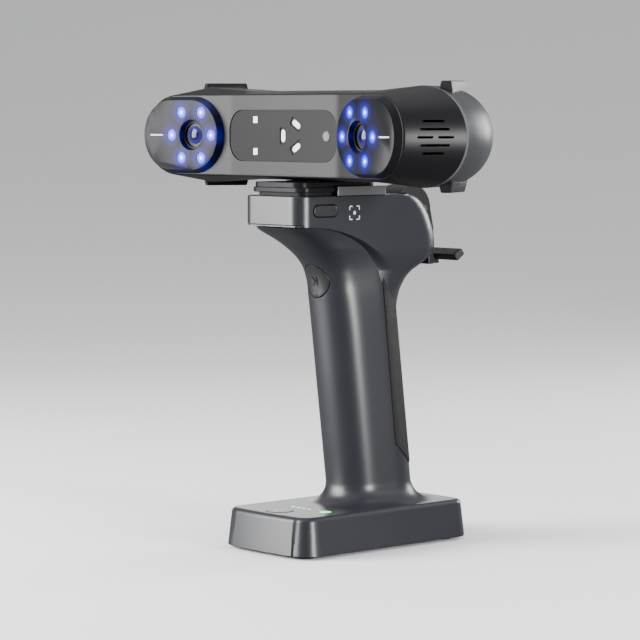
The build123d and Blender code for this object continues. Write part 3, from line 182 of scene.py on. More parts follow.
def make_grain():
    """Moulded grain: a fine noise gives height and roughness, a slow noise shades the colour a little."""
    group, takes, gives = new_group(
        "moulded_grain",
        [("Colour", "c"), ("Roughness", "f"), ("Scale", "f"), ("Spread", "f"), ("Shade", "f")],
        [("Colour", "c"), ("Roughness", "f"), ("Height", "f")],
    )
    place = group.nodes.new("ShaderNodeTexCoord")
    fine = group.nodes.new("ShaderNodeTexNoise")
    slow = group.nodes.new("ShaderNodeTexNoise")
    fine.inputs["Detail"].default_value = 2.5
    slow.inputs["Scale"].default_value = 38
    slow.inputs["Detail"].default_value = 3
    wire(group, place.outputs["Object"], fine.inputs["Vector"], place.outputs["Object"], slow.inputs["Vector"],
         takes.outputs["Scale"], fine.inputs["Scale"])
    slow_swing = math_node(group, "SUBTRACT", slow.outputs["Fac"], 0.5)
    swing = math_node(group, "MULTIPLY", slow_swing, takes.outputs["Shade"])
    gain = math_node(group, "ADD", swing, 1.0)
    tint = group.nodes.new("ShaderNodeVectorMath")
    tint.operation = "SCALE"
    wire(group, takes.outputs["Colour"], tint.inputs[0], gain, tint.inputs["Scale"],
         tint.outputs[0], gives.inputs["Colour"])
    fine_swing = math_node(group, "SUBTRACT", fine.outputs["Fac"], 0.5)
    rough = math_node(group, "MULTIPLY", fine_swing, takes.outputs["Spread"])
    both = math_node(group, "ADD", rough, takes.outputs["Roughness"])
    uneven = math_node(group, "ADD", both, math_node(group, "MULTIPLY", swing, 0.12))
    wire(group, uneven, gives.inputs["Roughness"],
         fine.outputs["Fac"], gives.inputs["Height"])
    return group


grain = make_grain()


def grained(name, colour, roughness, scale=2600, spread=0.12, shade=0.25, depth=0.00002, strength=0.25,
            **sockets):
    """A material with the moulded grain; scale is in patterns per metre, depth in metres."""
    made = material(name, colour, roughness, **sockets)
    tree = made.node_tree
    shader = tree.nodes["Principled BSDF"]
    surface = tree.nodes.new("ShaderNodeGroup")
    surface.node_tree = grain
    surface.inputs["Colour"].default_value = (*colour, 1)
    surface.inputs["Roughness"].default_value = roughness
    surface.inputs["Scale"].default_value = scale
    surface.inputs["Spread"].default_value = spread
    surface.inputs["Shade"].default_value = shade
    bump = tree.nodes.new("ShaderNodeBump")
    bump.inputs["Strength"].default_value = strength
    bump.inputs["Distance"].default_value = depth
    wire(tree, surface.outputs["Colour"], shader.inputs["Base Color"],
         surface.outputs["Roughness"], shader.inputs["Roughness"],
         surface.outputs["Height"], bump.inputs["Height"], bump.outputs["Normal"], shader.inputs["Normal"])
    return made


paper = grained("floor_paper", (0.90, 0.90, 0.905), 0.9, scale=900, shade=0.02, depth=0.00005)
paper_shade = paper.node_tree.nodes.new("ShaderNodeMixRGB")
paper_shade.inputs["Color1"].default_value = (0.10, 0.10, 0.10, 1)
seen = paper.node_tree.nodes.new("ShaderNodeLightPath")
paper_grain = paper.node_tree.nodes["Group"]
wire(paper.node_tree, seen.outputs["Is Camera Ray"], paper_shade.inputs["Fac"],
     paper_grain.outputs["Colour"], paper_shade.inputs["Color2"],
     paper_shade.outputs["Color"], paper.node_tree.nodes["Principled BSDF"].inputs["Base Color"])
floor.data.materials.append(paper)


# ---- inside of the head ----
# Anodised camera modules on an aluminium frame, the main board on posts behind it with its fin block,
# and the projector behind the middle of the face. Screwed together before the shells close.


def coat(finish, *nodes):
    """Gives CAD nodes a finish."""
    for node in nodes:
        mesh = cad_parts[node].data
        mesh.materials.clear()
        mesh.materials.append(finish)


camera_metal = grained("anodised_metal", (0.42, 0.43, 0.45), 0.42, scale=1500, Metallic=1.0)
board_green = grained("solder_mask", (0.012, 0.10, 0.035), 0.35, scale=700, shade=0.5, Coat_Weight=0.4)
inner_black = grained("inner_black", (0.006, 0.006, 0.007), 0.55, Specular_IOR_Level=0.15)
bright_steel = grained("plated_steel", (0.50, 0.50, 0.52), 0.28, scale=1800, Metallic=1.0)
coat(camera_metal, "right_camera", "left_camera", "optical_frame", "heat_sink")
coat(board_green, "main_board", "fill_led_board", "right_led_board", "left_led_board")
coat(inner_black, "laser_module", "right_lens_barrel", "left_lens_barrel")
coat(bright_steel, "board_standoffs", "head_port")

# ---- rear shell of the head ----
# A deep tub moulded in graphite plastic with a fine spark grain, rounded far over its ends.
# A bead runs round its front edge where it meets the front cover, coloured lighter grey as a painted highlight.
HEAD_Z, FACE_Y, SEAM_DEPTH, BACK_DEPTH = 204.0, -45.0, 20.0, 60.0
HEAD_LENGTH, WAIST_HALF, END_HALF, END_REACH, SHOULDER = 215.0, 22.0, 24.1, 30.0, 29.0


def through(known, values, at):
    """Smooth curve through known points: cubic Hermite pieces whose slopes are the finite differences."""
    known, values, at = (np.asarray(a, float) for a in (known, values, at))
    slopes = np.gradient(values, known)
    k = np.clip(np.searchsorted(known, at) - 1, 0, len(known) - 2)
    span = known[k + 1] - known[k]
    t = np.clip((at - known[k]) / span, 0, 1)
    return (
        (2 * t**3 - 3 * t**2 + 1) * values[k] + (t**3 - 2 * t**2 + t) * span * slopes[k]
        + (3 * t**2 - 2 * t**3) * values[k + 1] + (t**3 - t**2) * span * slopes[k + 1]
    )


def head_ring(length, waist, end, reach=END_REACH):
    """Outline across the head for columns of sizes: flat waist, sloping shoulders, half ellipses for ends.
    A short running average along it softens the corners. Returns x and z, each rows by points."""
    sizes = [np.atleast_1d(np.asarray(a, float))[:, None] for a in (length, waist, end, reach)]
    length, waist, end, reach = np.broadcast_arrays(*sizes)
    centre = length / 2 - reach
    shoulder = centre - SHOULDER
    run = np.linspace(0, 1, 24, endpoint=False)[None]
    slope = np.linspace(0, 1, 22, endpoint=False)[None]
    turn = np.radians(np.linspace(90, -90, 97))[None]
    x = [shoulder * run, shoulder + (centre - shoulder) * slope, centre + reach * np.cos(turn)]
    z = [waist + 0 * run * shoulder, waist + (end - waist) * slope, end * np.sin(turn)]
    back = np.linspace(0, 1, 22, endpoint=False)[None] + 1 / 22
    x += [centre + (shoulder - centre) * back, shoulder * (1 - np.arange(1, 25)[None] / 24)]
    z += [-(end + (waist - end) * back), -waist + 0 * shoulder * np.zeros((1, 24))]
    x, z = np.concatenate(x, 1), np.concatenate(z, 1)
    x, z = np.concatenate([x, -x[:, -2:0:-1]], 1), np.concatenate([z, z[:, -2:0:-1]], 1)
    kernel = np.array([1, 3, 5, 6, 5, 3, 1]) / 24.0
    return tuple(sum(w * np.roll(line, k - 3, axis=1) for k, w in enumerate(kernel)) for line in (x, z))


def prism(outline, origin, across, up, inwards, depth, lift=1.0):
    """Closed bar: an outline of (u, v) points in mm on the plane of across and up, from lift above it to
    depth below."""
    outline, origin = np.asarray(outline, float), np.asarray(origin, float)
    across, up, inwards = (np.asarray(a, float) for a in (across, up, inwards))
    ring = origin + outline[:, :1] * across + outline[:, 1:] * up
    return np.stack([ring - lift * inwards, ring + depth * inwards])


def slot_outline(length, width, steps=10, turn=0.0, centre=(0, 0)):
    """Outline of a slot: two half circles joined by straights."""
    a = np.linspace(-90, 90, steps + 1)
    a = np.radians(np.concatenate([a, a + 180]))
    shift = np.where(np.arange(len(a)) <= steps, 1, -1) * (length - width) / 2
    u, v = shift + np.cos(a) * width / 2, np.sin(a) * width / 2
    return np.stack([centre[0] + u * math.cos(turn) - v * math.sin(turn),
                     centre[1] + u * math.sin(turn) + v * math.cos(turn)], 1)


def circle_outline(radius, steps=64, centre=(0, 0)):
    """Outline of a circle."""
    a = np.linspace(0, 2 * np.pi, steps, endpoint=False)
    return np.stack([centre[0] + radius * np.cos(a), centre[1] + radius * np.sin(a)], 1)


def cut(piece, bars):
    """Takes closed bars out of a piece, and leaves the result as its own mesh."""
    tools = [grid_mesh(f"tool_{k}", bar) for k, bar in enumerate(bars)]
    form = bmesh.new()
    for tool in tools:
        form.from_mesh(tool.data)
        bpy.data.objects.remove(tool)
    mesh = bpy.data.meshes.new("tool")
    form.to_mesh(mesh)
    form.free()
    tool = bpy.data.objects.new("tool", mesh)
    bpy.context.scene.collection.objects.link(tool)
    form = bmesh.new()
    form.from_mesh(piece.data)
    bmesh.ops.remove_doubles(form, verts=form.verts, dist=2e-6)
    bmesh.ops.dissolve_degenerate(form, edges=form.edges, dist=1e-6)
    form.to_mesh(piece.data)
    form.free()
    change = piece.modifiers.new("cut", "BOOLEAN")
    change.operation, change.solver, change.object = "DIFFERENCE", "MANIFOLD", tool
    result = bpy.data.meshes.new_from_object(piece.evaluated_get(bpy.context.evaluated_depsgraph_get()))
    piece.modifiers.clear()
    piece.data = result
    result.materials.clear()
    result.polygons.foreach_set("material_index", np.zeros(len(result.polygons), np.int32))
    bpy.data.objects.remove(tool)
    result.shade_smooth()
    result.set_sharp_from_angle(angle=math.radians(38))


REAR_AT = (20.0, 30.0, 38.0, 47.0, 53.0, 57.0, 59.2, 60.0)
REAR_SHORTER = (0.0, 3.6, 9.0, 20.5, 32.0, 44.0, 53.5, 62.0)
REAR_LOWER = (0.0, 0.15, 0.5, 1.15, 2.0, 3.4, 5.6, 8.6)
PORT_LENGTH, PORT_HEIGHT = 9.9, 4.1


def tub_grid():
    """Rows run back from the seam to the back, depth = SEAM + (BACK - SEAM) sin t for t up to a quarter turn.
    Each is the head's outline, shorter and lower by smooth curves of its depth."""
    depths = SEAM_DEPTH + (BACK_DEPTH - SEAM_DEPTH) * np.sin(np.linspace(0, np.pi / 2, 46))
    shorter, lower = through(REAR_AT, REAR_SHORTER, depths), through(REAR_AT, REAR_LOWER, depths)
    x, z = head_ring(HEAD_LENGTH - shorter, WAIST_HALF - lower, END_HALF - lower)
    return np.dstack([x, FACE_Y + depths[:, None] + 0 * x, HEAD_Z + z])


tub = grid_mesh("rear_shell_tub", tub_grid())
back_y = FACE_Y + BACK_DEPTH
port_slot = slot_outline(PORT_LENGTH, PORT_HEIGHT)
cut(tub, [prism(port_slot, (0, back_y, 194), (1, 0, 0), (0, 0, 1), (0, -1, 0), 4.0),
          prism(circle_outline(4.25), (0, back_y, 209), (1, 0, 0), (0, 0, 1), (0, -1, 0), 2.5)])
shell_grey = grained("shell_grey", (0.026, 0.027, 0.031), 0.42, scale=3200, spread=0.22, depth=0.00003,
                     strength=0.4)
tub.data.materials.append(shell_grey)
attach(tub, "scanner")
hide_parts("rear_shell")



def bead_grid():
    """A low rounded profile swept round the seam: each row is the head's outline at one depth, grown by the
    profile's height there."""
    depth = SEAM_DEPTH + np.array([-0.05, -0.05, 0.1, 0.9, 1.4, 1.6, 1.6])
    out = np.array([-0.8, -0.1, 0.05, 0.05, 0.0, -0.2, -0.8])
    x, z = head_ring(HEAD_LENGTH + 2 * out, WAIST_HALF + out, END_HALF + out)
    return np.dstack([x, FACE_Y + depth[:, None] + 0 * x, HEAD_Z + z])


bead = grid_mesh("seam_bead", bead_grid(), caps=())
# Painted highlight: the bead's lighter grey stands in for the light its rim catches from above.
bead.data.materials.append(grained("seam_bead_painted_highlight", (0.08, 0.081, 0.085), 0.36, scale=2600))
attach(bead, "scanner")

# ---- bumpers ----
# Four tapered bars in near-black plastic, two above and two below, that keep the head off a desk.
# Each is moulded with the rear shell and has its edges eased.


def eased(node, width, finish, body, segments=2):
    """A copy of a CAD node with its triangles merged, its flat faces joined and its sharp edges rounded."""
    form = bmesh.new()
    form.from_mesh(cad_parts[node].data)
    bmesh.ops.remove_doubles(form, verts=form.verts, dist=2e-6)
    bmesh.ops.dissolve_limit(form, angle_limit=math.radians(0.3), verts=form.verts, edges=form.edges)
    mesh = bpy.data.meshes.new(node + "_eased")
    form.to_mesh(mesh)
    form.free()
    mesh.shade_smooth()
    piece = bpy.data.objects.new(node + "_eased", mesh)
    bpy.context.scene.collection.objects.link(piece)
    bevel = piece.modifiers.new("eased_edges", "BEVEL")
    bevel.width = width * 0.001
    bevel.segments = segments
    bevel.limit_method = "ANGLE"
    bevel.angle_limit = math.radians(32)
    bevel.harden_normals = True
    mesh.set_sharp_from_angle(angle=math.radians(60))
    mesh.materials.clear()
    mesh.materials.append(finish)
    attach(piece, body)
    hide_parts(node)
    return piece


bumper_black = grained("bumper_black", (0.008, 0.008, 0.009), 0.42, scale=2800, Specular_IOR_Level=0.2)
eased("head_bumpers", 0.6, bumper_black, "scanner", 3)

# ---- front cover of the head ----
# A near-black satin moulding: flat middle, wings toed in by 9.5 degrees, flanks that swell to the seam,
# five rows of vent slots in each end and a shallow seat for the middle panel.
TOE, WING_START, SPINE_HALF, COVER_ROUND = math.radians(9.5), 40.0, 76.0, 1.1
VENT_WIDTH, VENT_PITCH, VENT_DEPTH_Y = 1.15, 3.72, 5.5
FRONT_LENGTH, FRONT_HALF, FRONT_REACH, NOSE_DEPTH = 187.0, 18.6, 19.0, -16.0


def face_depth(x):
    """How far the face lies behind the middle plane at x: the wings come forwards in a straight line."""
    bend = 1.6
    over = np.abs(x) - WING_START
    soft = np.where(over < -bend, 0, np.where(over > bend, over, (over + bend) ** 2 / (4 * bend)))
    return -soft * math.tan(TOE)


def cover_grid():
    """Straight flanks join the seam outline to the face outline, which lies where they meet the bent face.
    The corner between is a quadratic curve of three points; then rows shrink to a spine along the middle."""
    nose_x, nose_z = (line[0] for line in head_ring(FRONT_LENGTH, FRONT_HALF + 0.4, FRONT_HALF, FRONT_REACH))
    seam_x, seam_z = (line[0] for line in head_ring(HEAD_LENGTH, WAIST_HALF, END_HALF))
    share = np.zeros_like(nose_x)
    for _ in range(30):
        edge_x = seam_x + (nose_x - seam_x) * share
        share = (SEAM_DEPTH - face_depth(edge_x)) / (SEAM_DEPTH - NOSE_DEPTH)
    edge = np.stack([edge_x, face_depth(edge_x), seam_z + (nose_z - seam_z) * share], 1)
    seam = np.stack([seam_x, SEAM_DEPTH + 0 * seam_x, seam_z], 1)
    spine = np.stack([np.clip(edge[:, 0], -SPINE_HALF, SPINE_HALF), 0 * edge_x, 0 * edge_x], 1)
    flank = seam - edge
    inward = spine - edge
    inward[:, 1] = 0
    side_point = edge + flank / np.linalg.norm(flank, axis=1, keepdims=True) * COVER_ROUND
    face_point = edge + inward / np.linalg.norm(inward, axis=1, keepdims=True) * COVER_ROUND
    face_point[:, 1] = face_depth(face_point[:, 0])
    rows = [edge + flank * t for t in (1.0, 0.8, 0.6, 0.4, 0.2)]
    for t in np.linspace(0, 1, 9):
        rows.append((1 - t) ** 2 * side_point + 2 * t * (1 - t) * edge + t**2 * face_point)
    for t in np.linspace(0, 1, 40)[1:]:
        row = face_point + (spine - face_point) * t
        row[:, 1] = face_depth(row[:, 0])
        rows.append(row)
    return np.array(rows) + np.array([0, FACE_Y, HEAD_Z])


def panel_outline():
    """The middle panel's seat: a rectangle with corners of 9.75 mm radius."""
    corners = []
    for k, (cx, cz) in enumerate(((1, 1), (-1, 1), (-1, -1), (1, -1))):
        a = np.radians(np.linspace(0, 90, 17) + 90 * k)
        corners.append(np.stack([cx * 30.35 + 9.75 * np.cos(a), cz * 2.95 + 9.75 * np.sin(a)], 1))
    return np.concatenate(corners)


cover = grid_mesh("front_cover_face", cover_grid(), caps=(0,))
bars = [prism(panel_outline(), (0, FACE_Y, HEAD_Z), (1, 0, 0), (0, 0, 1), (0, 1, 0), 1.3)]
for side in (1, -1):
    for row, (long, shifts) in {0: (7.5, (-4.85, 4.85)), 1: (13.8, (0,)), 2: (10.1, (0,))}.items():
        for level in {row, -row}:
            for shift in shifts:
                place = (side * 97.0, FACE_Y + VENT_DEPTH_Y + shift, HEAD_Z + level * VENT_PITCH)
                vent = slot_outline(long, VENT_WIDTH)
                bars.append(prism(vent, place, (0, 1, 0), (0, 0, 1), (-side, 0, 0), 8.0, lift=15))
cut(cover, bars)
head_black = grained("head_black", (0.006, 0.006, 0.007), 0.40, scale=3000, Specular_IOR_Level=0.17)
cover.data.materials.append(head_black)
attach(cover, "scanner")
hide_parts("front_cover")

# ---- middle panel ----
# A smooth black plate glued in its seat, with two white lights, a sensor and three black projector slots.
# Each slot holds a smaller white diffuser, made as a thin bar.
PROJECTOR_X, PROJECTOR_RING = 6.7, 6.5
panel_black = grained("panel_black", (0.004, 0.004, 0.005), 0.38, scale=1200, spread=0.05, depth=0.00001,
                      Specular_IOR_Level=0.07)
eased("centre_panel", 0.18, panel_black, "scanner")
window_black = grained("window_black", (0.003, 0.003, 0.004), 0.3, scale=900, Specular_IOR_Level=0.05)
coat(window_black, "laser_windows")
fill_white = grained("fill_white", (0.75, 0.76, 0.80), 0.3, Emission_Color=(0.9, 0.93, 1.0, 1),
                     Emission_Strength=0.35)
coat(fill_white, "fill_leds")
sensor_glass = grained("sensor_glass", (0.09, 0.09, 0.11), 0.3, Specular_IOR_Level=0.15)
coat(sensor_glass, "colour_sensor")


def sign(name, outlines, origin, across, up, inwards, finish, body):
    """Printed sign: thin closed bars that stand 0.09 mm proud of a plane and reach 0.04 mm into it."""
    form = bmesh.new()
    for k, outline in enumerate(outlines):
        raised = grid_mesh(f"bar_{k}", prism(outline, origin, across, up, inwards, 0.04, lift=0.09))
        form.from_mesh(raised.data)
        bpy.data.objects.remove(raised)
    mesh = bpy.data.meshes.new(name)
    form.to_mesh(mesh)
    form.free()
    piece = bpy.data.objects.new(name, mesh)
    bpy.context.scene.collection.objects.link(piece)
    mesh.materials.append(finish)
    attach(piece, body)


inserts = []
for bearing in np.radians((180, 60, -60)):
    centre = (PROJECTOR_X + PROJECTOR_RING * math.cos(bearing), PROJECTOR_RING * math.sin(bearing))
    inserts.append(slot_outline(6.0, 2.8, turn=bearing + math.pi / 2, centre=centre))
slot_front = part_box("laser_windows")[0][1] * 1000
window_white = grained("window_white", (0.72, 0.73, 0.76), 0.3, scale=900)
sign("projector_inserts", inserts, (0, slot_front, HEAD_Z), (1, 0, 0), (0, 0, 1), (0, 1, 0), window_white,
     "scanner")

# ---- camera bezels, their lights and lenses ----
# Each wing carries a bevelled black bezel with six lit blue windows round a recessed lens. The bezel's emission
# is a painted blue glow round each window, and the lens's colour is a painted blue reflection ring.
RING_X, RING_DEPTH, LED_RING = 62.5, 3.765, 13.1
DOME_RADIUS, DOME_RISE, RAMP_REACH = 5.0, 1.6, 12.0


def make_ring_distance():
    """Distance in mm to the nearest of six points spaced evenly on a ring, by folding the angle."""
    group, takes, gives = new_group("ring_distance", [("Vector", "v")], [("Distance", "f"), ("Radius", "f")])
    split = group.nodes.new("ShaderNodeSeparateXYZ")
    wire(group, takes.outputs["Vector"], split.inputs[0])
    u = math_node(group, "MULTIPLY", split.outputs["X"], 1000)
    v = math_node(group, "MULTIPLY", split.outputs["Z"], 1000)
    square = math_node(group, "ADD", math_node(group, "MULTIPLY", u, u), math_node(group, "MULTIPLY", v, v))
    radius = math_node(group, "SQRT", square)
    sixth = math.radians(60)
    bearing = math_node(group, "ADD", math_node(group, "ARCTAN2", v, u), 7 * sixth + sixth / 2)
    folded = math_node(group, "SUBTRACT", math_node(group, "MODULO", bearing, sixth), sixth / 2)
    near = math_node(group, "MULTIPLY", math_node(group, "MULTIPLY", radius, 2 * LED_RING),
                     math_node(group, "COSINE", folded))
    far = math_node(group, "SUBTRACT", math_node(group, "ADD", square, LED_RING**2), near)
    wire(group, math_node(group, "SQRT", math_node(group, "MAXIMUM", far, 0)), gives.inputs["Distance"],
         radius, gives.inputs["Radius"])
    return group


ring_distance = make_ring_distance()


def wing_axes(side):
    """The centre of one wing's ring of lights, with the directions outwards along the wing and ahead of it."""
    origin = np.array([side * RING_X, FACE_Y - RING_DEPTH, HEAD_Z])
    out = np.array([side * math.cos(TOE), -math.sin(TOE), 0])
    ahead = np.array([-side * math.sin(TOE), -math.cos(TOE), 0])
    return origin, out, ahead


def measured(tree, side):
    """A ring_distance node fed with object coordinates turned into one wing's own axes."""
    place = tree.nodes.new("ShaderNodeTexCoord")
    centre = tree.nodes.new("ShaderNodeMapping")
    centre.vector_type = "TEXTURE"
    centre.inputs["Location"].default_value = tuple(wing_axes(side)[0] / 1000)
    centre.inputs["Rotation"].default_value = (0, 0, -side * TOE)
    ring = tree.nodes.new("ShaderNodeGroup")
    ring.node_tree = ring_distance
    wire(tree, place.outputs["Object"], centre.inputs["Vector"],
         centre.outputs["Vector"], ring.inputs["Vector"])
    return ring


def ramped(tree, distance, stops, blend):
    """Colour over a distance: stops are distances in mm with their colours."""
    ramp = tree.nodes.new("ShaderNodeValToRGB")
    ramp.color_ramp.interpolation = blend
    while len(ramp.color_ramp.elements) < len(stops):
        ramp.color_ramp.elements.new(0.5)
    for element, (at, colour) in zip(ramp.color_ramp.elements, stops):
        element.position, element.color = at / RAMP_REACH, (*colour, 1)
    wire(tree, math_node(tree, "DIVIDE", distance, RAMP_REACH), ramp.inputs["Fac"])
    return ramp.outputs["Color"]


def lit(made, side, stops):
    """Feeds a material's emission colour from the distance to the nearest light of one wing."""
    tree = made.node_tree
    colour = ramped(tree, measured(tree, side).outputs["Distance"], stops, "EASE")
    wire(tree, colour, tree.nodes["Principled BSDF"].inputs["Emission Color"])


def bar(u0, v0, u1, v1):
    """Outline of a rectangle, from its lower left corner to its upper right one."""
    return np.array([(u0, v0), (u1, v0), (u1, v1), (u0, v1)], float)


def turned(name, profile, side):
    """Surface of revolution about one wing's camera axis, from (radius, height above the wing) points in mm."""
    profile = np.asarray(profile, float)
    a = np.linspace(0, 2 * np.pi, 72, endpoint=False)[None]
    r, h = profile[:, :1], profile[:, 1:]
    u, v = r * np.cos(a), r * np.sin(a)
    origin, out, ahead = wing_axes(side)
    up = np.array([0, 0, 1])
    return grid_mesh(name, origin + u[..., None] * out + v[..., None] * up + (h + 0 * a)[..., None] * ahead)


def lens_profile():
    """A glass dome, height = RISE (1 - (r / RADIUS)^2) - 0.3, then a flat collar and a short skirt."""
    dome = [(r, DOME_RISE * (1 - (r / DOME_RADIUS) ** 2) - 0.3) for r in np.linspace(0.02, DOME_RADIUS, 22)]
    return dome + [(5.3, -0.5), (5.8, -0.6), (5.8, -2.2)]


sign_pale = grained("sign_pale", (0.55, 0.56, 0.58), 0.5, scale=1500)
for wing, side in {"right": 1, "left": -1}.items():
    # Painted glow: the bezel's own emission is blue next to each light window and fades to black by 11.5 mm, in
    # place of the lights' spill.
    bezel_painted_glow = grained(f"{wing}_bezel_painted_glow", (0.007, 0.007, 0.009), 0.30, scale=2400, spread=0.06,
                          depth=0.00001, Specular_IOR_Level=0.07, Emission_Strength=1.3)
    lit(bezel_painted_glow, side, [(0.0, (0.02, 0.03, 1.0)), (2.3, (0.012, 0.012, 0.75)), (4.0, (0.003, 0.002, 0.17)),
                            (7.0, (0.0, 0.0, 0.02)), (11.5, (0, 0, 0))])
    eased(f"{wing}_bezel", 0.22, bezel_painted_glow, "scanner")
    led_blue = grained(f"{wing}_led_blue", (0.02, 0.02, 0.5), 0.3, Emission_Strength=6.0,
                       Specular_IOR_Level=0.2)
    lit(led_blue, side, [(0.0, (0.8, 0.88, 1.0)), (0.55, (0.5, 0.6, 1.0)), (1.05, (0.02, 0.03, 0.8)),
                         (2.0, (0.0, 0.0, 0.05))])
    coat(led_blue, f"{wing}_led_windows")
    lens_glass = material(f"{wing}_lens_glass", (0.012, 0.010, 0.030), 0.10, Specular_IOR_Level=0.25)
    glass_tree = lens_glass.node_tree
    # Painted reflection: the lens's base colour is near black in the middle, rises to a blue ring near 3.7 mm
    # radius and falls dark again at the rim.
    painted_reflection_ring = ramped(glass_tree, measured(glass_tree, side).outputs["Radius"], [
        (0.0, (0.002, 0.002, 0.006)), (2.28, (0.006, 0.006, 0.05)), (3.72, (0.03, 0.02, 0.16)),
        (5.7, (0.01, 0.01, 0.02))], "LINEAR")
    wire(glass_tree, painted_reflection_ring, glass_tree.nodes["Principled BSDF"].inputs["Base Color"])
    lens = turned(f"{wing}_lens_dome", lens_profile(), side)
    lens.data.materials.append(lens_glass)
    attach(lens, "scanner")
    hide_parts(f"{wing}_lens")
    origin, out, ahead = wing_axes(side)
    sign(f"{wing}_mark", [bar(18.9, -0.38, 27.3, 0.38)], origin + 3.42 * ahead, out, (0, 0, 1), -ahead,
         sign_pale, "scanner")

# ---- mount between head and handle ----
# An aluminium plate under the head drops onto a black quick-release plate, held by a 1/4-inch screw.
plate_black = grained("plate_black", (0.009, 0.009, 0.0105), 0.34, scale=1800, Specular_IOR_Level=0.07)
eased("head_plate", 0.4, plate_black, "scanner")
eased("quick_release_plate", 0.35, plate_black, "scanner")
strip_metal = grained("strip_metal", (0.22, 0.22, 0.23), 0.35, Metallic=1.0)
eased("clamp_strips", 0.25, strip_metal, "scanner")
coat(inner_black, "release_socket")
coat(bright_steel, "mount_screw")

# ---- battery and boards in the handle ----
# One cell in a black cradle, a tall board behind the scan switch, and the charging board in the base.
coat(grained("cell_wrap", (0.05, 0.16, 0.36), 0.3, scale=600, Coat_Weight=0.3), "battery_cell")
coat(inner_black, "battery_cradle")
coat(board_green, "handle_board", "scan_switch", "base_board")
coat(bright_steel, "latch_bar", "base_screws", "hinge_pin", "charge_port")

# ---- handle: base, neck and grip ----
# One hollow graphite moulding with a satin grain: a flat desk base, a round flare and a leaning pistol grip.
HANDLE_HEIGHT, BASE_Z, BASE_TOP, FRONT = 175.0, 1.5, 20.3, -60.0
GRIP_WIDTH, GRIP_DEPTH, GRIP_HEEL, NECK = 35.0, 45.0, 15.5, 11.0


def grip_front(z):
    """The grip's front leans back towards its foot by 7 degrees."""
    return FRONT + 41.2 + math.tan(math.radians(7)) * (94.0 - z)


def oval(front, rear, half, nose_half, nose, heel):
    """Horizontal outline from the middle of the front, round the right side, to the middle of the rear, then
    back round the left: nose arcs and heel arcs joined by their common tangents. Rows by points by two."""
    front, rear, half, nose_half, nose, heel = (
        a[:, None] for a in np.broadcast_arrays(*(np.atleast_1d(np.asarray(v, float))
                                                  for v in (front, rear, half, nose_half, nose, heel))))
    run, spread = (rear - heel) - (front + nose), (half - heel) - nose_half
    tilt = np.arctan2(run, spread) - np.arccos((nose - heel) / np.hypot(run, spread))
    t = np.linspace(0, 1, 28)[None]
    nose_turn = -np.pi / 2 + (tilt + np.pi / 2) * t
    heel_turn = tilt + (np.pi / 2 - tilt) * t
    side = half - heel
    nose_x, nose_y = nose_half + nose * np.cos(nose_turn), front + nose + nose * np.sin(nose_turn)
    heel_x, heel_y = side + heel * np.cos(heel_turn), rear - heel + heel * np.sin(heel_turn)
    flat = np.linspace(0, 1, 222)[None, 1:-1]
    x = [nose_half * t[:, :-1], nose_x, nose_x[:, -1:] + (heel_x[:, :1] - nose_x[:, -1:]) * flat, heel_x,
         side * (1 - t[:, 1:])]
    y = [front + 0 * t[:, :-1], nose_y, nose_y[:, -1:] + (heel_y[:, :1] - nose_y[:, -1:]) * flat, heel_y,
         rear + 0 * t[:, 1:]]
    x, y = np.concatenate(x, 1), np.concatenate(y, 1)
    return np.dstack([np.concatenate([x, -x[:, -2:0:-1]], 1), np.concatenate([y, y[:, -2:0:-1]], 1)])


FLARE = np.array([
    (15.0, 25.3, 2.8, 7.6), (17.0, 23.8, 2.1, 8.4), (19.5, 19.6, 1.3, 9.8), (22.0, 15.3, 0.7, 11.0),
    (25.5, 10.1, 0.3, 11.9), (29.5, 5.9, 0.1, 12.6), (35.0, 2.3, 0.0, 13.3), (41.5, 0.6, 0.0, 13.9),
    (51.0, 0.2, 0.0, 14.6), (63.0, 0.0, 0.0, 15.0), (90.0, 0.0, 0.0, 15.0),
])


def grip_rows(z, grow=0.0):
    """Grip outlines at heights z, grown outwards; under the block the front flares forwards."""
    z = np.atleast_1d(np.asarray(z, float))
    drop = np.clip(HANDLE_HEIGHT - z, 15.0, 90.0)
    ahead, wider, nose = (through(FLARE[:, 0], FLARE[:, k], drop) for k in (1, 2, 3))
    half = GRIP_WIDTH / 2 + wider
    nose_half = np.minimum(half - nose - 0.1, 1.0 + ahead / 2)
    front = grip_front(z)
    return oval(front - ahead - grow, front + GRIP_DEPTH + grow, half + grow, nose_half, nose + grow,
                GRIP_HEEL + grow)


def polar(outline, centre, angles):
    """The points of a convex outline that lie at given angles about a centre."""
    arm = outline - centre
    bearing = np.arctan2(arm[:, 1], arm[:, 0])
    order = np.argsort(bearing)
    reach = np.interp(angles, bearing[order], np.hypot(*arm.T)[order], period=2 * np.pi)
    return centre + reach[:, None] * np.stack([np.cos(angles), np.sin(angles)], 1)


def base_outline(inset):
    """Rounded rectangle of the base, its front edge bowed forwards by 1.8 mm."""
    half, corner = 32.0 - inset, 9.0 - inset
    front, rear = FRONT + inset, FRONT + 114.0 - inset
    points = []
    for k, (cx, cy) in enumerate(((1, rear), (-1, rear), (-1, front + 1.8), (1, front + 1.8))):
        a = np.radians(np.linspace(0, 90, 40) + 90 * k)
        points.append(np.stack([cx * (half - corner) + corner * np.cos(a),
                                cy + (-corner if cy > 0 else corner) + corner * np.sin(a)], 1))
        if k == 2:
            x = np.linspace(-(half - corner), half - corner, 60)[1:-1]
            points.append(np.stack([x, front + 1.8 * (x / half) ** 2 * 0.94], 1))
    dense = np.concatenate(points + [points[0][:1]])
    length = np.concatenate([[0], np.cumsum(np.hypot(*np.diff(dense, axis=0).T))])
    at = np.linspace(0, length[-1], 1600, endpoint=False)
    return np.stack([np.interp(at, length, dense[:, 0]), np.interp(at, length, dense[:, 1])], 1)


ANGLES = np.linspace(-np.pi, np.pi, 480, endpoint=False)
DRAFT, TOP_ROUND, SOFTEN = 2.2, 2.6, 9


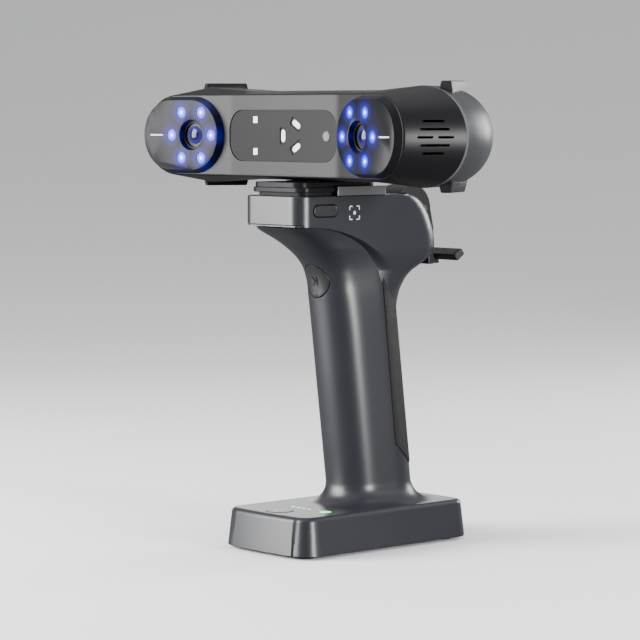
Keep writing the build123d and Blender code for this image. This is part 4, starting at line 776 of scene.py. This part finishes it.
def soften(ring, spread):
    """Ring of points with its corners eased: a Gaussian running average, spread points wide."""
    k = np.arange(-3 * spread, 3 * spread + 1)
    weight = np.exp(-0.5 * (k / spread) ** 2)
    return sum(w * np.roll(ring, j, axis=0) for j, w in zip(k, weight / weight.sum()))


def skin_row(outline, centre, z, spread=0):
    """One row of the handle's skin at height z, its points at even angles about a centre."""
    ring = polar(outline, centre, ANGLES)
    if spread:
        ring = soften(ring, spread)
    return np.column_stack([ring, np.full(len(ring), z)])


def handle_grid():
    """Rows rise up the base's drafted walls and round its top edge on a quarter circle, cross its top by a
    straight blend of two outlines, rise up the neck on another quarter circle, and follow the leaning grip."""
    foot = np.array([0, grip_front(BASE_TOP) + GRIP_DEPTH / 2])
    rows = []
    for z in np.concatenate([[BASE_Z, BASE_Z + 0.35], np.linspace(BASE_Z + 1.2, BASE_TOP - TOP_ROUND, 7)]):
        inset = DRAFT * (z - BASE_Z) / (BASE_TOP - BASE_Z) + (0.35 if z == BASE_Z else 0)
        rows.append(skin_row(base_outline(inset), foot, z))
    for turn in np.radians(np.linspace(0, 90, 9)):
        inset = 1.9 + TOP_ROUND * (1 - math.cos(turn))
        rows.append(skin_row(base_outline(inset), foot, BASE_TOP - TOP_ROUND + TOP_ROUND * math.sin(turn)))
    outer = polar(base_outline(1.9 + TOP_ROUND), foot, ANGLES)
    inner = soften(polar(grip_rows([BASE_TOP], grow=NECK)[0], foot, ANGLES), SOFTEN)
    for t in np.linspace(0, 1, 14)[1:-1]:
        rows.append(np.column_stack([outer + (inner - outer) * t, np.full(len(ANGLES), BASE_TOP)]))
    for turn in np.radians(np.linspace(90, 0, 22)):
        z = BASE_TOP + NECK * (1 - math.sin(turn))
        outline = grip_rows([z], grow=NECK * (1 - math.cos(turn)))[0]
        rows.append(skin_row(outline, (0, grip_front(z) + GRIP_DEPTH / 2), z, SOFTEN))
    for z in np.concatenate([np.linspace(BASE_TOP + NECK + 2, 112, 26)[:-1], np.linspace(112, 159.6, 44)]):
        rows.append(skin_row(grip_rows([z])[0], (0, grip_front(z) + GRIP_DEPTH / 2), z, SOFTEN))
    return np.array(rows)


grip = grid_mesh("handle_grip_skin", handle_grid())
TILT = math.radians(13.5)
SCAN_FACE = (0, grip_front(132.4) - 0.6, 132.4)
SCAN_IN = (0, math.cos(TILT), math.sin(TILT))
SCAN_UP = (0, -math.sin(TILT), math.cos(TILT))
POWER_Y, LIGHTS_Y = FRONT + 13.2, FRONT + 27.2
grip_bars = [
    prism(circle_outline(8.65), SCAN_FACE, (1, 0, 0), SCAN_UP, SCAN_IN, 11.0, lift=8),
    prism(circle_outline(6.95), (0, POWER_Y, BASE_TOP), (1, 0, 0), (0, 1, 0), (0, 0, -1), 4.5),
    prism(circle_outline(2.9), (18, LIGHTS_Y, BASE_TOP), (1, 0, 0), (0, 1, 0), (0, 0, -1), 3.0),
    prism(port_slot, (0, 54, 10.5), (1, 0, 0), (0, 0, 1), (0, -1, 0), 6.0, lift=3),
]
for x in (-6, -2, 2, 6):
    place = (x, LIGHTS_Y, BASE_TOP)
    grip_bars.append(prism(slot_outline(2.3, 1.4), place, (1, 0, 0), (0, 1, 0), (0, 0, -1), 3.0))
cut(grip, grip_bars)
handle_grey = grained("handle_grey", (0.0145, 0.0155, 0.0195), 0.35, scale=3400, spread=0.14, depth=0.00003,
                      strength=0.35)
grip.data.materials.append(handle_grey)
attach(grip, "scanner")
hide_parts("handle_shell")

# ---- handle: block under the head ----
# The same moulding swells into a long block that carries the mount and the phone holder's hinge.
# A soft crease runs down each side where the block fades into the grip.
BLOCK_Y, BLOCK_HALF, SKIRT, REAR_IN, TOP_INSET = -53.0, 21.5, 14.0, 10.2, 0.6
SLAB = np.array([
    (0.0, 21.2, 0.0), (13.0, 24.0, 0.0), (19.0, 25.5, 0.0), (24.0, 25.9, 0.1), (29.0, 24.7, 0.2),
    (34.0, 19.1, 0.9), (39.0, 10.5, 1.8), (46.0, 4.6, 3.0), (53.0, 1.8, 3.7), (66.0, -0.3, 4.2),
])
CREASE_TOP, CREASE_FALL, CREASE_RUN = 14.9, 22.6, 51.4


def slab_row(drop, inset=0.0, z=None):
    """Block outline at a drop below its top. Below the skirt its front end is drawn in to the crease, a quarter
    ellipse: back = RUN * sqrt(1 - (1 - u)^2), u = (drop - TOP) / FALL. Lower down it sinks into the grip."""
    z = HANDLE_HEIGHT - drop if z is None else z
    back, narrow = (float(through(SLAB[:, 0], SLAB[:, k], drop)) for k in (1, 2))
    half = BLOCK_HALF - narrow - inset
    level = HANDLE_HEIGHT - drop
    rear = grip_front(level) + GRIP_DEPTH + back - inset
    if drop < SKIRT:
        rear -= REAR_IN * (1 - math.sqrt(1 - (1 - max(drop, 0) / SKIRT) ** 2))
    nose = 7.5 - inset
    ring = oval(BLOCK_Y + inset, rear, half, half - nose, nose, 14.0 - narrow / 4 - inset)[0]
    if drop > SKIRT:
        ring = sunk(creased(ring, drop), drop, back)
    return np.column_stack([ring, np.full(len(ring), z)])


def creased(ring, drop):
    """Draws a block outline's front end in to the crease, and narrows it there by a smooth step."""
    u = min(max((drop - CREASE_TOP) / CREASE_FALL, 0.0004), 1.0)
    cutoff = BLOCK_Y + CREASE_RUN * math.sqrt(1 - (1 - u) ** 2)
    under = GRIP_WIDTH / 2 - 1.0
    blend = np.clip((ring[:, 1] - cutoff) / (2.4 + 10.0 * u * u), 0, 1)
    blend = blend * blend * (3 - 2 * blend)
    half = np.abs(ring[:, 0])
    half = np.minimum(half, under) * (1 - blend) + half * blend
    return np.column_stack([np.sign(ring[:, 0]) * half, np.maximum(ring[:, 1], cutoff)])


def sunk(ring, drop, back):
    """Narrows a block outline towards the grip's, by a smooth step that ends 0.6 mm below its surface."""
    level = HANDLE_HEIGHT - drop
    line = grip_rows([level])[0]
    line = line[: len(line) // 2 + 1]
    fade = min(max((drop - 26.0) / 36.0, 0), 1)
    fade = fade * fade * (3 - 2 * fade)
    start = grip_front(level)
    along = start + (ring[:, 1] - start) * GRIP_DEPTH / (GRIP_DEPTH + back)
    half = np.abs(ring[:, 0])
    low = np.interp(along, line[:, 1], line[:, 0]) - 0.6 * fade
    return np.column_stack([np.sign(ring[:, 0]) * np.minimum(half, half * (1 - fade) + low * fade), ring[:, 1]])


def block_grid():
    """Outlines stacked downwards: the deck's sunk rim, a rounded top edge, the sides, then the crease's rows,
    spaced by the sine of an angle so that they lie evenly along its ellipse."""
    rows = [slab_row(2.4, TOP_INSET * 2, HANDLE_HEIGHT - 2.4), slab_row(0.05, TOP_INSET * 2, HANDLE_HEIGHT)]
    for t in np.radians(np.linspace(0, 90, 6)):
        level = HANDLE_HEIGHT - TOP_INSET * (1 - math.cos(t))
        rows.append(slab_row(0.05, TOP_INSET * (1 - math.sin(t)), level))
    crease = CREASE_TOP + CREASE_FALL * (1 - np.cos(np.linspace(0, np.pi / 2, 44)))
    above, skirt, below = np.linspace(0.9, 13.0, 22), np.linspace(13.2, 14.8, 4), np.linspace(38.0, 64, 36)
    return np.array(rows + [slab_row(drop) for drop in np.concatenate([above, skirt, crease, below])])


slab = grid_mesh("handle_block_skin", block_grid())
cut(slab, [
    prism(slot_outline(16.3, 6.5), (BLOCK_HALF, -35.8, 167.8), (0, 1, 0), (0, 0, 1), (-1, 0, 0), 5.0),
    prism(bar(22.9, 151, 70, 180), (8.4, 0, 0), (0, 1, 0), (0, 0, 1), (-1, 0, 0), 16.8, lift=0),
])
slab.data.materials.append(handle_grey)
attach(slab, "scanner")
eased("deck_plate", 0.3, handle_grey, "scanner")

# ---- rubber grip ----
# A black rubber wrap set into the sides and back of the grip, with a fine crossed diagonal pattern.


def make_weave():
    """Crossed diagonal ribs: the higher of two sine waves at right angles, over the piece's own u and v."""
    group, takes, gives = new_group("diagonal_ribs", [("Vector", "v"), ("Pitch", "f")], [("Height", "f")])
    split = group.nodes.new("ShaderNodeSeparateXYZ")
    wire(group, takes.outputs["Vector"], split.inputs[0])
    ribs = []
    for operation in ("ADD", "SUBTRACT"):
        along = math_node(group, operation, split.outputs["X"], split.outputs["Y"])
        turns = math_node(group, "DIVIDE", along, takes.outputs["Pitch"])
        phase = math_node(group, "MULTIPLY", turns, 2 * math.pi)
        ribs.append(math_node(group, "SINE", phase))
    wire(group, math_node(group, "MAXIMUM", *ribs), gives.inputs["Height"])
    return group


rubber = grained("grip_rubber", (0.008, 0.008, 0.0085), 0.55, scale=2500, spread=0.2, Specular_IOR_Level=0.16)
ribs = rubber.node_tree.nodes.new("ShaderNodeGroup")
ribs.node_tree = make_weave()
ribs.inputs["Pitch"].default_value = 1.5
wrap_uv = rubber.node_tree.nodes.new("ShaderNodeUVMap")
wrap_uv.uv_map = "wrap"
wire(rubber.node_tree, wrap_uv.outputs["UV"], ribs.inputs["Vector"])
rib_bump = rubber.node_tree.nodes.new("ShaderNodeBump")
rib_bump.inputs["Strength"].default_value = 0.7
rib_bump.inputs["Distance"].default_value = 0.00025
fine_bump = rubber.node_tree.nodes["Bump"]
wire(rubber.node_tree, ribs.outputs["Height"], rib_bump.inputs["Height"], rib_bump.outputs["Normal"],
     fine_bump.inputs["Normal"])
LOW, HIGH = HANDLE_HEIGHT - 125.0, HANDLE_HEIGHT - 44.0
WRAP_REACH, WRAP_RISE = 42.0, 88.0
COLUMNS = np.concatenate([[0, 0.004, 0.010, 0.018], np.linspace(0.03, 1.0, 46)])


def side_table(levels):
    """Points along one side of the grip's outline, from the wrap's front edge to the middle of the back."""
    front_low, front_high = grip_front(LOW) + 27.5, grip_front(HIGH) + 28.7
    sections = grip_rows(levels)
    table = np.zeros((len(levels), len(COLUMNS), 2))
    for k, z in enumerate(levels):
        line = sections[k, : sections.shape[1] // 2 + 1]
        run = np.concatenate([[0], np.cumsum(np.hypot(*np.diff(line, axis=0).T))])
        start = np.interp(front_low + (front_high - front_low) * (z - LOW) / (HIGH - LOW), line[:, 1], run)
        at = start + (run[-1] - start) * COLUMNS
        table[k] = np.stack([np.interp(at, run, line[:, 0]), np.interp(at, run, line[:, 1])], 1)
    return table


def eased_in(t):
    """Rounded edge: 1 - (1 - t)^2, held at 0 and 1."""
    return 1 - (1 - np.clip(t, 0, 1)) ** 2


def wrap_grid():
    """Columns run round the grip, rows rise between a shaped bottom and top edge. The surface is the grip's
    own, moved 0.25 mm outwards and eased to 0.7 mm below it at the edges; the left side mirrors the right."""
    levels = np.linspace(LOW - 11.0, HIGH + 10.0, 60)
    table = side_table(levels)
    reach = COLUMNS * WRAP_REACH
    bottom = np.interp(reach, (0, 16.5, 60), (LOW, LOW - 11.0, LOW - 11.0))
    top = HIGH + np.interp(reach, (0, 1.5, 4.5, 9.0, 13.5, 18.6, 60), (0, 4.2, 8.0, 10.0, 8.8, 5.5, 5.5))
    rise = np.concatenate([[0, 0.004, 0.009, 0.015], np.linspace(0.025, 0.975, 90), [0.985, 0.991, 0.996, 1]])
    patch = np.zeros((len(rise), len(COLUMNS), 3))
    for k in range(len(COLUMNS)):
        z = bottom[k] + (top[k] - bottom[k]) * rise
        x, y = (np.interp(z, levels, table[:, k, axis]) for axis in (0, 1))
        patch[:, k] = np.stack([x, y, z], 1)
    step = np.gradient(patch[..., :2], axis=1)
    outward = np.dstack([step[..., 1], -step[..., 0]])
    outward /= np.maximum(np.linalg.norm(outward, axis=2, keepdims=True), 1e-9)
    from_ends = eased_in(rise * WRAP_RISE / 0.9) * eased_in((1 - rise) * WRAP_RISE / 0.9)
    patch[..., :2] += outward * (-0.7 + 0.95 * eased_in(reach / 0.7)[None] * from_ends[:, None])[..., None]
    return np.concatenate([patch, patch[:, -2::-1] * np.array([-1, 1, 1])], 1)


wrap_points = wrap_grid()
wrap_piece = grid_mesh("rubber_grip_wrap", wrap_points, wrap=False)
wrap_piece.data.materials.append(rubber)
along = WRAP_REACH * np.concatenate([COLUMNS, 2 - COLUMNS[-2::-1]])
spread = np.dstack([along[None] + 0 * wrap_points[..., 2], wrap_points[..., 2]]).reshape(-1, 2)
corners = np.zeros(len(wrap_piece.data.loops), int)
wrap_piece.data.loops.foreach_get("vertex_index", corners)
wrap_piece.data.uv_layers.new(name="wrap").data.foreach_set("uv", spread[corners].ravel())
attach(wrap_piece, "scanner")
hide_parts("rubber_grip")

# ---- buttons and lights ----
# Satin graphite buttons with a thin gap round them; pale printed signs; green light guides in the base.
# The block's side carries four corner brackets round a dot.
BRACKET_HALF, BRACKET_INNER, STROKE = 3.2, 1.4, 0.6


def arc_band(radius, width, start, end, steps=48):
    """Flat band along a circle between two angles in degrees, as a closed outline of (u, v) points."""
    a = np.radians(np.linspace(start, end, steps))
    outer, inner = radius + width / 2, radius - width / 2
    return np.concatenate([np.stack([outer * np.cos(a), outer * np.sin(a)], 1),
                           np.stack([inner * np.cos(a[::-1]), inner * np.sin(a[::-1])], 1)])


button_grey = grained("button_grey", (0.014, 0.014, 0.0155), 0.36, scale=2800)
eased("scan_button", 0.45, button_grey, "scan_button", 3)
eased("release_button", 0.45, button_grey, "release_button", 3)
eased("power_button", 0.3, button_grey, "power_button", 3)
green = grained("light_green", (0.05, 0.5, 0.15), 0.3, Emission_Color=(0.12, 1.0, 0.35, 1),
                Emission_Strength=2.2)
coat(green, "battery_lights", "status_light", "head_status_light")
sign_dark = grained("sign_dark", (0.003, 0.003, 0.0035), 0.6, scale=1500, Specular_IOR_Level=0.1)
chevron = [np.array([(0.3, 0), (0.9, 0), (-1.2, 2.2), (-1.8, 2.2)]),
           np.array([(-1.8, -2.2), (-1.2, -2.2), (0.9, 0), (0.3, 0)])]
sign("scan_sign", chevron + [bar(1.5, -2.2, 2.0, 2.2)], SCAN_FACE, (1, 0, 0), SCAN_UP, SCAN_IN, sign_dark,
     "scan_button")
sign("power_sign", [arc_band(2.3, 0.45, 125, 415), bar(-0.22, 0.6, 0.22, 2.9)], (0, POWER_Y, 20.5),
     (1, 0, 0), (0, 1, 0), (0, 0, -1), sign_pale, "power_button")
brackets = [circle_outline(0.9, 24)]
for cu in (-1, 1):
    for cv in (-1, 1):
        left, right = sorted((cu * BRACKET_HALF, cu * BRACKET_INNER))
        low, high = sorted((cv * BRACKET_HALF, cv * BRACKET_INNER))
        edge_u, edge_v = cu * BRACKET_HALF, cv * BRACKET_HALF
        brackets.append(bar(left, edge_v - STROKE / 2, right, edge_v + STROKE / 2))
        brackets.append(bar(edge_u - STROKE / 2, low, edge_u + STROKE / 2, high))
sign("frame_sign", brackets, (BLOCK_HALF, -17.0, 166.5), (0, 1, 0), (0, 0, 1), (-1, 0, 0),
     sign_pale, "scanner")

# ---- underside ----
# A screwed cover closes the base and carries four rubber discs.
eased("base_cover", 0.4, shell_grey, "scanner")
foot_rubber = grained("foot_rubber", (0.016, 0.016, 0.017), 0.7, scale=1800)
eased("rubber_feet", 0.5, foot_rubber, "scanner")

# ---- phone holder ----
# A black folding arm turns on a pin in the block's rear slot; a sprung lower jaw slides in it.
holder_black = grained("holder_black", (0.008, 0.008, 0.009), 0.42, scale=2400)
eased("holder_arm", 0.5, holder_black, "phone_holder", 3)
eased("lower_jaw", 0.4, holder_black, "lower_jaw", 3)
eased("jaw_pads", 0.3, foot_rubber, "lower_jaw")
